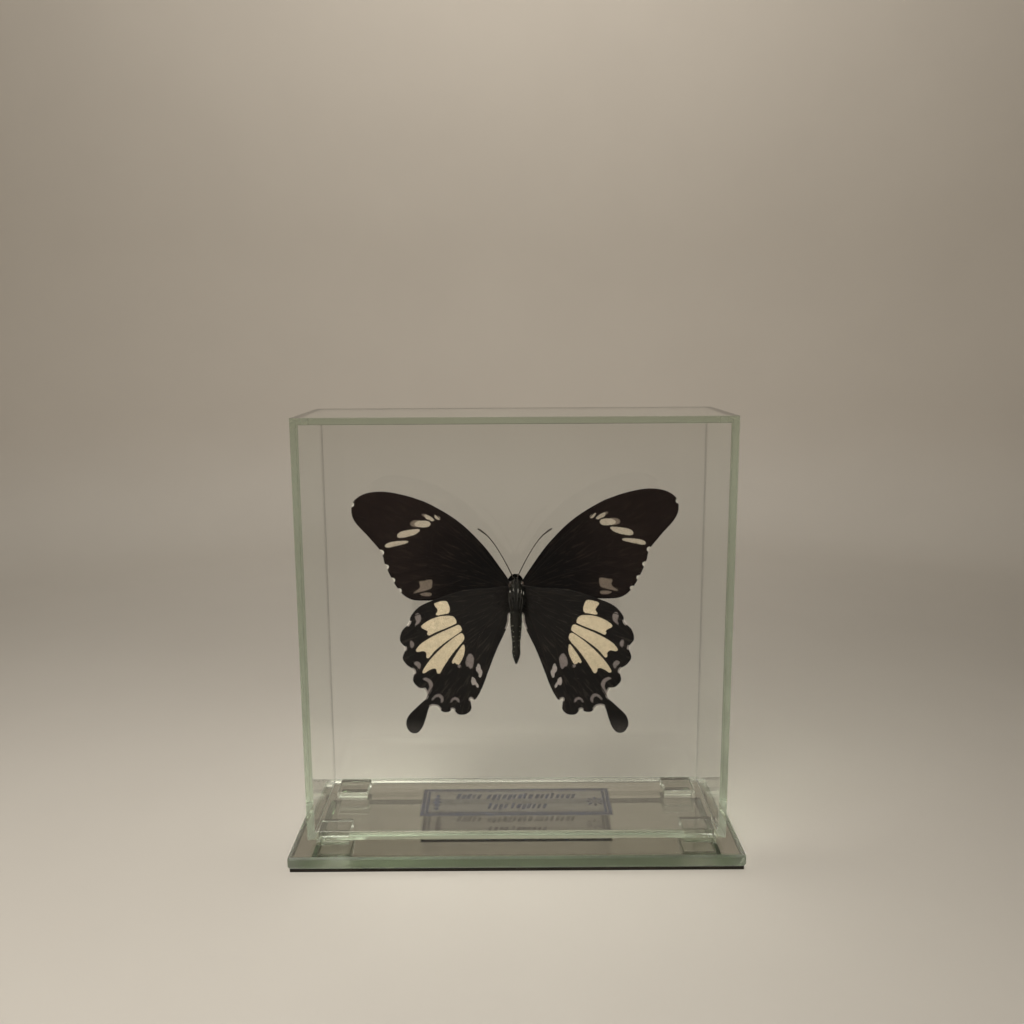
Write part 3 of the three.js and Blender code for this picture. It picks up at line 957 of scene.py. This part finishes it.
def build_wing(kind, hand, plane_y, rim, veins, markings, notches, seed, materials):
    """One wing sheet from its rim, veins and markings, thickened by a Solidify modifier."""
    flat, edges, starts, ends = wing_points(rim, veins, seed)
    face = list(range(len(rim)))
    cut = delaunay_2d_cdt([Vector(point) for point in flat], edges, [face], 1, 1e-5)
    places = np.array([tuple(point) for point in cut[0]])
    to_vein = edge_distance(places, starts, ends)
    to_rim = edge_distance(places, rim, np.roll(rim, -1, 0))
    points = []
    for (u, v), gap in zip(places, to_vein):
        bow = camber(u, v)
        ridge = VEIN_LIFT * math.exp(-(gap / VEIN_HALF) ** 2) - MEMBRANE_DIP * (1 - math.exp(-gap / 1.4))
        points.append(set_place(kind, hand, u, plane_y + bow - ridge, v))
    faces = [tuple(triangle) if hand == "right" else tuple(reversed(triangle)) for triangle in cut[2]]
    wing = mesh_object(f"{kind}_{hand}_sheet", points, faces)
    mesh = wing.data
    values = {"vein_gap": to_vein, "rim_gap": to_rim}
    for label, patches in markings.items():
        values[label] = marking_depth(places, patches)
    values["cream"] += CREAM_SPREAD
    values["white"] = np.maximum(values["white"], notch_depth(places, to_rim, notches))
    for label, numbers in values.items():
        store_values(mesh, label, numbers)
    fan = np.stack([
        np.arctan2(places[:, 1] - 2.0, places[:, 0] + 4.0) * 30.0,
        np.hypot(places[:, 0] + 4.0, places[:, 1] - 2.0) * 0.12,
        np.zeros(len(places)),
    ], 1)
    layer = mesh.attributes.new("fan", "FLOAT_VECTOR", "POINT")
    layer.data.foreach_set("vector", fan.astype(np.float32).ravel())
    for material in materials:
        mesh.materials.append(material)
    make_active(wing)
    bpy.ops.object.shade_smooth()
    sheet = wing.modifiers.new("sheet", "SOLIDIFY")
    sheet.thickness = WING_SHEET * MM
    sheet.offset = -1
    sheet.material_offset = 1
    sheet.material_offset_rim = 0
    bpy.ops.object.modifier_apply(modifier=sheet.name)
    return wing


def scale_edge_group():
    """A marking's mask from its signed distance, with an edge as ragged as rows of scales."""
    group, source, result = new_group(
        "scale_edge",
        [("Depth", "NodeSocketFloat", 0.0), ("Raggedness", "NodeSocketFloat", 0.35),
         ("Softness", "NodeSocketFloat", 0.12)],
        [("Mask", "NodeSocketFloat")],
    )
    centred = math_value(group, "SUBTRACT", noise(group, own_place(group), 2400.0, 2.0), 0.5)
    ragged = math_value(group, "MULTIPLY_ADD", centred, source["Raggedness"], source["Depth"])
    share = math_value(group, "DIVIDE", ragged, source["Softness"])
    feed(group, result, {"Mask": remap(group, share, -1.0, 1.0, smooth=True)})
    return group


def scale_nap_group():
    """The nap of scales: a fine mosaic that varies the colour and lifts the surface."""
    group, source, result = new_group(
        "scale_nap",
        [("Scale", "NodeSocketFloat", 5200.0), ("Contrast", "NodeSocketFloat", 0.5)],
        [("Shade", "NodeSocketFloat"), ("Height", "NodeSocketFloat")],
    )
    place = own_place(group)
    mosaic = new_node(group, "TexVoronoi", {"Vector": place, "Scale": source["Scale"]}).outputs
    grey = new_node(group, "RGBToBW", {"Color": mosaic["Color"]}).outputs["Val"]
    blend = math_value(group, "ADD", grey, noise(group, place, 420.0, 4.0))
    feed(group, result, {
        "Shade": math_value(group, "MULTIPLY_ADD", blend, source["Contrast"], 0.5),
        "Height": mosaic["Distance"],
    })
    return group


scale_edge = scale_edge_group()
scale_nap = scale_nap_group()
WING_MARKS = {"grey": 0.28, "cream": 0.14, "white": 0.14}


def nap_outputs(tree):
    """The nap of scales, placed in a material."""
    return new_node(tree, "Group", {}, node_tree=scale_nap).outputs


def shade_by_nap(tree, shader, colour):
    """Feed the shader a colour that the nap varies, and give back the nap's height."""
    nap = nap_outputs(tree)
    feed(tree, shader, {"Base Color": mix(tree, 1.0, colour, nap["Shade"], "MULTIPLY")})
    return nap["Height"]


def wing_material(name, dark, warm, streak, cream, grey, white, vein):
    """Scaled wing: dark ground with brown streaks between the veins, then its markings."""
    material, tree, shader = blank_material(name)
    fan = attribute(tree, "fan", "Vector")
    outward = new_node(tree, "SeparateXYZ", {"Vector": fan}).outputs["Y"]
    colour = mix(tree, remap(tree, outward, 2.2, 6.4, smooth=True), dark, warm)
    rays = remap(tree, noise(tree, fan, 1.15, 2.0, 0.6), 0.54, 0.66, smooth=True)
    gap = attribute(tree, "vein_gap")
    between = remap(tree, gap, 0.10, 0.75, smooth=True)
    colour = mix(tree, math_value(tree, "MULTIPLY", rays, between), colour, streak)
    for (label, softness), paint in zip(WING_MARKS.items(), (grey, cream, white)):
        edge = new_node(tree, "Group", {
            "Depth": attribute(tree, label), "Softness": softness, "Raggedness": 0.4,
        }, node_tree=scale_edge)
        colour = mix(tree, edge.outputs["Mask"], colour, paint)
    colour = mix(tree, remap(tree, gap, 0.07, 0.22, 1.0, 0.0, smooth=True), colour, vein)
    height = shade_by_nap(tree, shader, colour)
    feed(tree, shader, {
        "Roughness": 0.80, "Specular IOR Level": 0.10, "Normal": bump(tree, height, 0.04, 0.5),
    })
    return material


forewing_under = wing_material(
    "forewing_underside", (0.0012, 0.0009, 0.0008), (0.0105, 0.0062, 0.0050), (0.015, 0.010, 0.0075),
    (0.36, 0.31, 0.24), (0.150, 0.118, 0.092), (0.62, 0.58, 0.50), (0.0100, 0.0068, 0.0052),
)
forewing_upper = wing_material(
    "forewing_upperside", (0.0050, 0.0046, 0.0048), (0.0120, 0.0090, 0.0085), (0.024, 0.020, 0.018),
    (0.38, 0.33, 0.25), (0.050, 0.042, 0.036), (0.45, 0.41, 0.35), (0.0060, 0.0050, 0.0046),
)
hindwing_under = wing_material(
    "hindwing_underside", (0.0085, 0.0072, 0.0064), (0.0080, 0.0066, 0.0058), (0.022, 0.018, 0.015),
    (0.56, 0.465, 0.325), (0.190, 0.160, 0.148), (0.34, 0.30, 0.275), (0.0150, 0.0115, 0.0092),
)
hindwing_upper = wing_material(
    "hindwing_upperside", (0.0090, 0.0082, 0.0080), (0.0090, 0.0080, 0.0080), (0.022, 0.019, 0.018),
    (0.48, 0.40, 0.27), (0.075, 0.068, 0.066), (0.45, 0.41, 0.36), (0.0060, 0.0052, 0.0050),
)

forewing_rim = notched(curve_through(FOREWING_RIM, RIM_STEP), FOREWING_NOTCHES)
hindwing_rim = curve_through(HINDWING_RIM, RIM_STEP)
forewing_marks = dict(cream=FOREWING_CREAM, grey=FOREWING_GREY, white=[])
hindwing_marks = dict(cream=HINDWING_CREAM, grey=HINDWING_GREY, white=HINDWING_WHITE)
for hand, seed in (("left", 11), ("right", 12)):
    for kind, plane_y, rim, veins, marks, notches, materials in (
        ("forewing", FOREWING_Y, forewing_rim, FOREWING_VEINS, forewing_marks, FOREWING_NOTCHES,
         (forewing_under, forewing_upper)),
        ("hindwing", HINDWING_Y, hindwing_rim, HINDWING_VEINS, hindwing_marks, HINDWING_NOTCHES,
         (hindwing_under, hindwing_upper)),
    ):
        wing = build_wing(kind, hand, plane_y, rim, veins, marks, notches, seed, materials)
        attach(wing, "root")
        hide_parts(f"{kind}_{hand}")


# ---------------------------------------------------------------------------
# The fringe: hair scales that stand off the rims of the wings, dark on the lobes and white in
# the notches. Each is a narrow blade with two faces.

FRINGE_PITCH = 0.13
FRINGE_LENGTH = 0.42
FRINGE_WIDTH = 0.10
WHITE_FRINGE = 1.35
DARK_FRINGE = 0.7


def fringe_mesh(kind, hand, plane_y, rim, notches, skip, seed):
    """Blades along a rim, with an attribute that says which ones are white."""
    rng = random.Random(seed)
    points = []
    faces = []
    pale = []
    count = len(rim)
    middle_y = plane_y + WING_SHEET / 2
    for index in range(count):
        start = Vector(rim[index])
        end = Vector(rim[(index + 1) % count])
        heading = end - start
        span = heading.length
        if span < 1e-6:
            continue
        heading /= span
        outward = Vector((heading.y, -heading.x))
        middle = (start + end) / 2
        probe = np.array([tuple(middle + outward * 0.05)])
        if inside_ring(probe, rim)[0]:
            outward = -outward
        if skip(middle.x, middle.y):
            continue
        white = any(math.hypot(middle.x - u, middle.y - v) < reach for u, v, reach in notches)
        blades = max(1, round(span / FRINGE_PITCH))
        for blade in range(blades):
            root = start + heading * span * (blade + rng.random()) / blades
            length = FRINGE_LENGTH * rng.uniform(0.55, 1.1) * (WHITE_FRINGE if white else DARK_FRINGE)
            lean = heading * rng.uniform(-0.35, 0.35) + outward
            lift = rng.uniform(-0.05, 0.05)
            tip = root + lean.normalized() * length
            root -= outward * 0.08
            y = middle_y + camber(root.x, root.y)
            base = len(points)
            for place, across, off in ((root, 1, 0), (root, -1, 0), (tip, 0, lift)):
                spot = place + heading * across * FRINGE_WIDTH / 2
                points.append(set_place(kind, hand, spot.x, y + off, spot.y))
            points.append(set_place(kind, hand, root.x, y + 0.05, root.y))
            faces.extend([
                (base, base + 1, base + 2), (base + 1, base + 3, base + 2),
                (base + 3, base, base + 2), (base, base + 3, base + 1),
            ])
            pale.extend([1.0 if white else 0.0] * 4)
    piece = mesh_object(f"{kind}_{hand}_fringe", points, faces)
    store_values(piece.data, "pale", pale)
    return piece


fringe_hair, tree, shader = blank_material("fringe_hair_scales")
tone = mix(tree, attribute(tree, "pale"), (0.010, 0.008, 0.007), (0.80, 0.76, 0.68))
shade_by_nap(tree, shader, tone)
feed(tree, shader, {"Roughness": 0.8})
for hand, seed in (("left", 21), ("right", 22)):
    for kind, plane_y, rim, notches, skip in (
        ("forewing", FOREWING_Y, forewing_rim, FOREWING_NOTCHES,
         lambda u, v: v > 38.0 or u < 30 or v > 36.1 + 0.25 * (u - 33)),
        ("hindwing", HINDWING_Y, hindwing_rim, HINDWING_NOTCHES, lambda u, v: v > -3.0 or u < 1.8),
    ):
        fringe = fringe_mesh(kind, hand, plane_y, rim, notches, skip, seed)
        fringe.data.materials.append(fringe_hair)
        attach(fringe, "root")


# ---------------------------------------------------------------------------
# The body: a ringed abdomen, a stout thorax and a small head with round eyes. It is dry chitin
# under short greenish-black hair, with two uneven rows of pale dots down each flank.

BODY_Y = -1.8
ABDOMEN_PROFILE = [
    # height above the specimen's centre, half width
    (2.0, 1.6), (0.0, 1.85), (-3.0, 2.0), (-6.5, 2.08), (-9.0, 2.08), (-11.5, 1.92), (-13.8, 1.68),
    (-16.0, 1.42), (-18.3, 1.36), (-20.4, 1.45), (-22.0, 1.15), (-23.4, 0.62), (-24.6, 0.18),
]
SEGMENT_COUNT = 9
ABDOMEN_STEPS = 110
ABDOMEN_SIDES = 40
# middle and radii of each part, in mm from the body's axis and the specimen's centre
THORAX_OVAL = ((0.2, 0, 1.3), (3.05, 3.85, 6.0))
WAIST_OVAL = ((0, 0, -3.2), (2.3, 2.5, 2.4))
HEAD_OVAL = ((0.15, 0.1, 5.6), (2.3, 1.9, 1.7))
EYE_RADII = (0.95, 1.0, 1.15)


def profile_radius(height):
    """The abdomen's half width at a height."""
    for (high, wide), (low, narrow) in zip(ABDOMEN_PROFILE, ABDOMEN_PROFILE[1:]):
        if low <= height <= high:
            share = (height - low) / (high - low)
            return narrow + (wide - narrow) * share
    return ABDOMEN_PROFILE[-1][1]


def spun_abdomen():
    """Spin a ringed half outline round the body's axis."""
    top = ABDOMEN_PROFILE[0][0]
    bottom = ABDOMEN_PROFILE[-1][0]
    outline = [(0.0, top + 0.2)]
    for step in range(ABDOMEN_STEPS + 1):
        height = top + (bottom - top) * step / ABDOMEN_STEPS
        phase = (step / ABDOMEN_STEPS * SEGMENT_COUNT) % 1.0
        ring = 0.10 * math.sin(math.pi * phase) ** 0.7 - 0.05 * math.exp(-((phase - 0.02) / 0.06) ** 2)
        outline.append((profile_radius(height) + ring, height))
    outline.append((0.0, bottom - 0.2))
    points = [
        ((SPECIMEN_X + wide) * MM, BODY_Y * MM, (SPECIMEN_Z + high) * MM) for wide, high in outline
    ]
    edges = [(index, index + 1) for index in range(len(points) - 1)]
    piece = mesh_object("abdomen", points, [], edges)
    make_active(piece)
    bpy.ops.object.mode_set(mode="EDIT")
    bpy.ops.mesh.select_all(action="SELECT")
    bpy.ops.mesh.spin(
        steps=ABDOMEN_SIDES, angle=2 * math.pi, center=(SPECIMEN_X * MM, BODY_Y * MM, 0),
        axis=(0, 0, 1),
    )
    bpy.ops.mesh.select_all(action="SELECT")
    bpy.ops.mesh.remove_doubles(threshold=0.002 * MM)
    bpy.ops.mesh.normals_make_consistent(inside=False)
    bpy.ops.mesh.faces_shade_smooth()
    bpy.ops.object.mode_set(mode="OBJECT")
    return piece


def add_ball(name, middle, radii, rings):
    """A ball with three radii, in mm from the body's axis and the specimen's centre."""
    deselect_all()
    place = Vector((SPECIMEN_X + middle[0], BODY_Y + middle[1], SPECIMEN_Z + middle[2])) * MM
    bpy.ops.mesh.primitive_uv_sphere_add(
        segments=rings * 2, ring_count=rings, radius=1, location=place, scale=Vector(radii) * MM,
    )
    ball = bpy.context.object
    ball.name = name
    bpy.ops.object.transform_apply(location=True, rotation=True, scale=True)
    bpy.ops.object.shade_smooth()
    return ball


abdomen = spun_abdomen()
thorax = add_ball("thorax", *THORAX_OVAL, 28)
waist = add_ball("waist", *WAIST_OVAL, 16)
head = add_ball("head", *HEAD_OVAL, 20)
for part in (thorax, waist, head):
    for vertex in part.data.vertices:
        x, y, z = vertex.co / MM
        swell = 0.10 * math.sin(2.3 * z + 1.1 * x) * math.sin(1.9 * x + 0.7 * y)
        groove = -0.25 * math.exp(-(((x - SPECIMEN_X) / 0.35) ** 2)) if y < BODY_Y else 0.0
        outward = vertex.co - Vector((SPECIMEN_X * MM, BODY_Y * MM, vertex.co.z))
        if outward.length > 1e-6:
            vertex.co += outward.normalized() * (swell + groove) * MM
body = join_pieces("body_shell", thorax, abdomen, waist, head)

body_skin, tree, shader = blank_material("body_skin")
patches = noise(tree, own_place(tree), 700.0, 4.0)
tone = mix(tree, patches, (0.005, 0.005, 0.0035), (0.016, 0.014, 0.010))
height = shade_by_nap(tree, shader, tone)
feed(tree, shader, {
    "Roughness": 0.6, "Specular IOR Level": 0.15, "Normal": bump(tree, height, 0.05),
})
body.data.materials.clear()
body.data.materials.append(body_skin)
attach(body, "root")
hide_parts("body")

# round compound eyes
eye_left = add_ball("eye_left", (-1.95, -0.5, 5.5), EYE_RADII, 14)
eye_right = add_ball("eye_right", (2.25, -0.5, 5.5), EYE_RADII, 14)
eyes = join_pieces("eyes", eye_left, eye_right)
eye_skin, tree, shader = blank_material("eye_facets")
facets = new_node(tree, "TexVoronoi", {"Vector": own_place(tree), "Scale": 14000.0}).outputs["Distance"]
feed(tree, shader, {
    "Base Color": mix(tree, facets, (0.012, 0.009, 0.007), (0.035, 0.024, 0.018)),
    "Roughness": 0.22, "Normal": bump(tree, facets, 0.01),
})
eyes.data.materials.append(eye_skin)
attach(eyes, "root")


# ---------------------------------------------------------------------------
# The hair: long soft hairs on the thorax, head and wing roots, and a short nap on the abdomen.
# Each hair is a narrow bent blade.

HAIR_BENDS = 2
HAIR_DROOP = 0.35
HAIR_ROOTING = 0.97
THORAX_HAIRS = 2600
HEAD_HAIRS = 700
WING_ROOT_HAIRS = 240
ABDOMEN_HAIRS = 2200
# each row of dots: side, angle round the flank in degrees, and how many
DOT_ROWS = [(-1, 30, 7), (-1, 58, 4), (1, 44, 5), (1, 70, 4)]


def hair_mesh(name, hairs, width):
    """Blades from (root, direction, length) in mm, bent towards the abdomen's tip."""
    points = []
    faces = []
    for root, direction, length in hairs:
        root = Vector(root)
        direction = Vector(direction).normalized()
        across = direction.cross(Vector((0, 0, 1)))
        if across.length < 1e-3:
            across = Vector((1, 0, 0))
        across.normalize()
        thick = direction.cross(across).normalized()
        base = len(points)
        for bend in range(HAIR_BENDS):
            share = bend / HAIR_BENDS
            droop = Vector((0, 0, -HAIR_DROOP * length * share * share))
            place = root + direction * length * share + droop
            half = width / 2 * (1 - 0.5 * share)
            for offset in (across * half, -across * half, thick * half):
                points.append(tuple((place + offset) * MM))
        tip = root + direction * length + Vector((0, 0, -HAIR_DROOP * length))
        points.append(tuple(tip * MM))
        last = base + 3 * HAIR_BENDS
        for bend in range(HAIR_BENDS - 1):
            row = base + 3 * bend
            for corner in range(3):
                following = (corner + 1) % 3
                faces.append((row + corner, row + following, row + 3 + following, row + 3 + corner))
        row = base + 3 * (HAIR_BENDS - 1)
        for corner in range(3):
            faces.append((row + corner, row + (corner + 1) % 3, last))
        faces.append((base, base + 2, base + 1))
    piece = mesh_object(name, points, faces)
    make_active(piece)
    bpy.ops.object.mode_set(mode="EDIT")
    bpy.ops.mesh.select_all(action="SELECT")
    bpy.ops.mesh.normals_make_consistent(inside=False)
    bpy.ops.object.mode_set(mode="OBJECT")
    return piece


def oval_hairs(rng, count, middle, radii, length, lean):
    """Hairs on a ball with three radii, leaning down the body."""
    hairs = []
    for _ in range(count):
        height = rng.uniform(-0.95, 0.95)
        angle = rng.uniform(0, 2 * math.pi)
        ring = math.sqrt(1 - height * height)
        normal = Vector((ring * math.cos(angle), ring * math.sin(angle), height))
        axes = zip((SPECIMEN_X, BODY_Y, SPECIMEN_Z), middle, normal, radii)
        root = [axis + offset + out * radius * HAIR_ROOTING for axis, offset, out, radius in axes]
        direction = normal + Vector((0, 0, lean)) + Vector([rng.uniform(-0.3, 0.3) for _ in range(3)])
        hairs.append((root, direction, length * rng.uniform(0.5, 1.0)))
    return hairs


rng = random.Random(31)
thorax_hairs = oval_hairs(rng, THORAX_HAIRS, *THORAX_OVAL, 1.0, -0.9)
thorax_hairs += oval_hairs(rng, HEAD_HAIRS, *HEAD_OVAL, 0.6, 0.1)
for side in (-1, 1):
    for _ in range(WING_ROOT_HAIRS):
        u = 2.6 + 5.6 * rng.random() ** 2
        v = rng.uniform(-4.5, 5.0) * (1.2 - 0.09 * u)
        front = rng.random() < 0.3
        y = (HINDWING_Y - 0.02 if front else FOREWING_Y + WING_SHEET + 0.05) + camber(u, v)
        direction = Vector((side, -0.12 if front else 0.12, -0.55 + rng.uniform(-0.35, 0.35)))
        root = (SPECIMEN_X + side * u, y, SPECIMEN_Z + v)
        thorax_hairs.append((root, direction, rng.uniform(0.8, 2.2)))
hair_coat = hair_mesh("thorax_hair", thorax_hairs, 0.085)

abdomen_hairs = []
for _ in range(ABDOMEN_HAIRS):
    height = rng.uniform(-24.6, -3.0)
    angle = rng.uniform(0, 2 * math.pi)
    wide = profile_radius(height) + 0.03
    normal = Vector((math.cos(angle), math.sin(angle), 0))
    root = Vector((SPECIMEN_X, BODY_Y, SPECIMEN_Z + height)) + normal * wide
    abdomen_hairs.append((root, normal + Vector((0, 0, -1.6)), rng.uniform(0.25, 0.5)))
abdomen_coat = hair_mesh("abdomen_hair", abdomen_hairs, 0.07)

hair_tone, tree, shader = blank_material("body_hair")
locks = remap(tree, noise(tree, own_place(tree), 1500.0, 3.0), 0.35, 0.75)
feed(tree, shader, {
    "Base Color": mix(tree, locks, (0.003, 0.003, 0.0025), (0.013, 0.011, 0.008)),
    "Roughness": 0.5, "Specular IOR Level": 0.2,
})
for coat in (hair_coat, abdomen_coat):
    coat.data.materials.append(hair_tone)
    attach(coat, "root")

# pale dots: flat scale tufts in two uneven rows down each flank of the abdomen
dots = []
for side, row_angle, segments in DOT_ROWS:
    for segment in range(segments):
        height = -9.6 - segment * 1.9 - rng.uniform(0, 0.7)
        angle = math.radians(-90 + side * (row_angle + rng.uniform(-5, 5)))
        wide = profile_radius(height) + 0.08
        dots.append((wide * math.cos(angle), wide * math.sin(angle), height))
dot_parts = [add_ball("dot", place, (0.17, 0.17, 0.20), 4) for place in dots]
flank_dots = join_pieces("abdomen_dots", *dot_parts)
dot_scales, tree, shader = blank_material("pale_dot_scales")
feed(tree, shader, {
    "Base Color": mix(tree, nap_outputs(tree)["Shade"], (0.10, 0.10, 0.07), (0.26, 0.25, 0.19)),
    "Roughness": 0.7,
})
flank_dots.data.materials.append(dot_scales)
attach(flank_dots, "root")


# ---------------------------------------------------------------------------
# The legs, palps and antennae: dry chitin tubes. The legs are folded along the thorax, one foot
# has slipped out beside the abdomen, and the antennae swell into dark clubs.

LEG_PATHS = [
    # points are (across, towards the viewer from the body's middle, up), with a radius, in mm
    [(0.7, 3.4, 3.4, 0.30), (0.95, 4.0, 5.0, 0.26), (0.75, 4.1, 2.4, 0.18), (0.55, 4.0, 0.2, 0.10)],
    [(1.1, 3.4, 1.6, 0.32), (1.95, 3.7, 4.2, 0.28), (1.6, 4.0, 1.0, 0.18), (1.3, 3.9, -2.2, 0.10)],
    [(1.0, 3.2, 0.0, 0.32), (2.5, 3.0, 2.6, 0.28), (2.3, 3.3, -1.6, 0.18), (1.6, 3.0, -4.6, 0.10)],
]
STRAY_FOOT = [
    (1.1, 1.9, -5.0, 0.10), (1.5, 1.9, -6.8, 0.09), (2.2, 1.7, -7.9, 0.08), (2.6, 1.6, -8.6, 0.05),
]
PALP_PATH = [(0.55, 1.6, 5.6, 0.30), (0.62, 2.2, 7.2, 0.36), (0.50, 1.9, 8.5, 0.12)]
ANTENNA_PATH = [
    (0.75, 8.0, 0.22), (2.6, 12.0, 0.17), (4.6, 15.8, 0.16), (7.2, 20.2, 0.17), (9.8, 23.5, 0.20),
    (11.5, 24.9, 0.30), (12.7, 25.8, 0.36), (13.5, 26.2, 0.22),
]
ANTENNA_X = 0.0


def tube(name, path, bevel_steps=2):
    """A round tube through points that each carry a radius, as a mesh."""
    curve = bpy.data.curves.new(name, "CURVE")
    curve.dimensions = "3D"
    curve.bevel_depth = 1.0
    curve.bevel_resolution = bevel_steps
    curve.use_fill_caps = True
    spline = curve.splines.new("NURBS")
    spline.points.add(len(path) - 1)
    for point, (place, radius) in zip(spline.points, path):
        point.co = (*place, 1)
        point.radius = radius
    spline.order_u = 3
    spline.use_endpoint_u = True
    spline.resolution_u = 8
    make_active(link_object(name, curve))
    bpy.ops.object.convert(target="MESH")
    piece = bpy.context.object
    bpy.ops.object.shade_smooth()
    return piece


def body_path(points, side):
    """Points by the body, mirrored for a side, in metres with their radii."""
    return [
        (Vector((SPECIMEN_X + side * across, BODY_Y - near, SPECIMEN_Z + up)) * MM, radius * MM)
        for across, near, up, radius in points
    ]


leg_parts = []
for side in (-1, 1):
    for path in LEG_PATHS:
        leg_parts.append(tube("leg", body_path(path, side)))
    leg_parts.append(tube("palp", body_path(PALP_PATH, side)))
leg_parts.append(tube("leg", body_path(STRAY_FOOT, 1)))
legs = join_pieces("legs_and_palps", *leg_parts)

leg_skin, tree, shader = blank_material("leg_chitin")
rub = noise(tree, own_place(tree), 900.0, 3.0)
feed(tree, shader, {
    "Base Color": mix(tree, rub, (0.006, 0.006, 0.005), (0.026, 0.022, 0.018)),
    "Roughness": remap(tree, rub, 0.3, 0.7, 0.30, 0.55),
})
legs.data.materials.append(leg_skin)
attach(legs, "root")

# painted highlights: pale lines that stand for glints on the thighs facing the viewer, and one pale spot
# by the left wing root for a bright glint
PAINTED_LEG_GLINTS = [
    # (across, towards the viewer, up) of both ends, with a radius, in mm
    ((-1.05, 4.25, 5.0), (-0.95, 4.3, 4.0), 0.11), ((0.72, 4.25, 4.9), (0.78, 4.3, 3.3), 0.14),
    ((1.95, 4.0, 4.4), (1.98, 4.0, 3.1), 0.12), ((2.75, 3.3, 3.6), (2.72, 3.4, 2.4), 0.10),
    ((-2.15, 3.9, 4.1), (-2.2, 4.0, 3.4), 0.22),
]
glint_parts = []
for start, end, radius in PAINTED_LEG_GLINTS:
    middle = [(first + last) / 2 for first, last in zip(start, end)]
    spans = [(*start, radius * 0.5), (*middle, radius), (*end, radius * 0.4)]
    glint_parts.append(tube("scale_line", body_path(spans, 1)))
painted_glints = join_pieces("thigh_scale_lines", *glint_parts)
# painted highlights: the glint lines are coloured pale
glint_colour, tree, shader = blank_material("painted_leg_highlights")
feed(tree, shader, {
    "Base Color": mix(tree, nap_outputs(tree)["Shade"], (0.16, 0.15, 0.14), (0.50, 0.48, 0.44)),
    "Roughness": 0.6,
})
painted_glints.data.materials.append(glint_colour)
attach(painted_glints, "root")

antenna_skin, tree, shader = blank_material("antenna_chitin")
bands = noise(tree, own_place(tree), 1200.0, 2.0)
feed(tree, shader, {
    "Base Color": mix(tree, bands, (0.018, 0.013, 0.010), (0.050, 0.038, 0.028)),
    "Roughness": 0.45,
})
for hand, side in (("left", -1), ("right", 1)):
    path = [
        (Vector((ANTENNA_X + side * u, BODY_Y, SPECIMEN_Z + v)) * MM, radius * MM)
        for u, v, radius in ANTENNA_PATH
    ]
    antenna = tube(f"antenna_{hand}_whip", path, 3)
    antenna.data.materials.append(antenna_skin)
    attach(antenna, "root")
    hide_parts(f"antenna_{hand}")


# ---------------------------------------------------------------------------
# The support: a clear acrylic rod from the thorax to a round pad, both cemented to the back pane.
# They are turned from cast rod and hidden behind the body.

acrylic, tree, shader = blank_material("clear_acrylic_turned")
turning = noise(tree, own_place(tree), 800.0, 3.0)
feed(tree, shader, {
    "Base Color": mix(tree, turning, (0.97, 0.98, 0.97), (0.93, 0.95, 0.94)),
    "Roughness": remap(tree, turning, 0.4, 0.8, 0.02, 0.12),
    "Transmission Weight": 1.0, "IOR": 1.49,
})
for node_name in ("support_rod", "support_pad"):
    support = bpy.data.objects[node_name]
    support.data.materials.clear()
    support.data.materials.append(acrylic)


# ---------------------------------------------------------------------------
# The dust: lint and grit that settle on the plate and on the case's bottom pane.
# Each speck is a tiny faceted grain.

PLATE_GRAINS = 150
CASE_GRAINS = 40
PLATE_MARGIN = 2 * MM
CASE_MARGIN = 4 * MM

rng = random.Random(47)
dust_mesh = bmesh.new()


def add_grain(place, size):
    """A grain, stretched and turned at random."""
    grain = bmesh.ops.create_icosphere(dust_mesh, subdivisions=1, radius=1.0)
    stretch = Vector((rng.uniform(0.6, 1.6), rng.uniform(0.6, 1.4), rng.uniform(0.3, 0.6))) * size
    spin = Matrix.Rotation(rng.uniform(0, math.pi), 3, "Z")
    for vertex in grain["verts"]:
        shaped = Vector([value * factor for value, factor in zip(vertex.co, stretch)])
        vertex.co = spin @ shaped + place


for _ in range(PLATE_GRAINS):
    size = rng.choice((0.03, 0.04, 0.05, 0.05, 0.07, 0.10)) * MM
    x = rng.uniform(plate_low.x + PLATE_MARGIN, plate_high.x - PLATE_MARGIN)
    y = rng.uniform(plate_low.y + PLATE_MARGIN, plate_high.y - PLATE_MARGIN)
    add_grain(Vector((x, y, plate_high.z + size * 0.3)), size)
for _ in range(CASE_GRAINS):
    size = rng.choice((0.03, 0.04, 0.06)) * MM
    x = rng.uniform(case_low.x + CASE_MARGIN, case_high.x - CASE_MARGIN)
    y = rng.uniform(case_low.y + CASE_MARGIN, case_high.y - CASE_MARGIN)
    add_grain(Vector((x, y, case_low.z + PANE + size * 0.35)), size)
dust_data = bpy.data.meshes.new("dust_specks")
dust_mesh.to_mesh(dust_data)
dust_mesh.free()
dust = link_object("dust_specks", dust_data)
lint, tree, shader = blank_material("pale_lint")
fluff = noise(tree, own_place(tree), 5000.0, 2.0)
feed(tree, shader, {
    "Base Color": mix(tree, fluff, (0.45, 0.42, 0.36), (0.80, 0.77, 0.70)),
    "Roughness": 0.9,
})
dust.data.materials.append(lint)
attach(dust, "root")
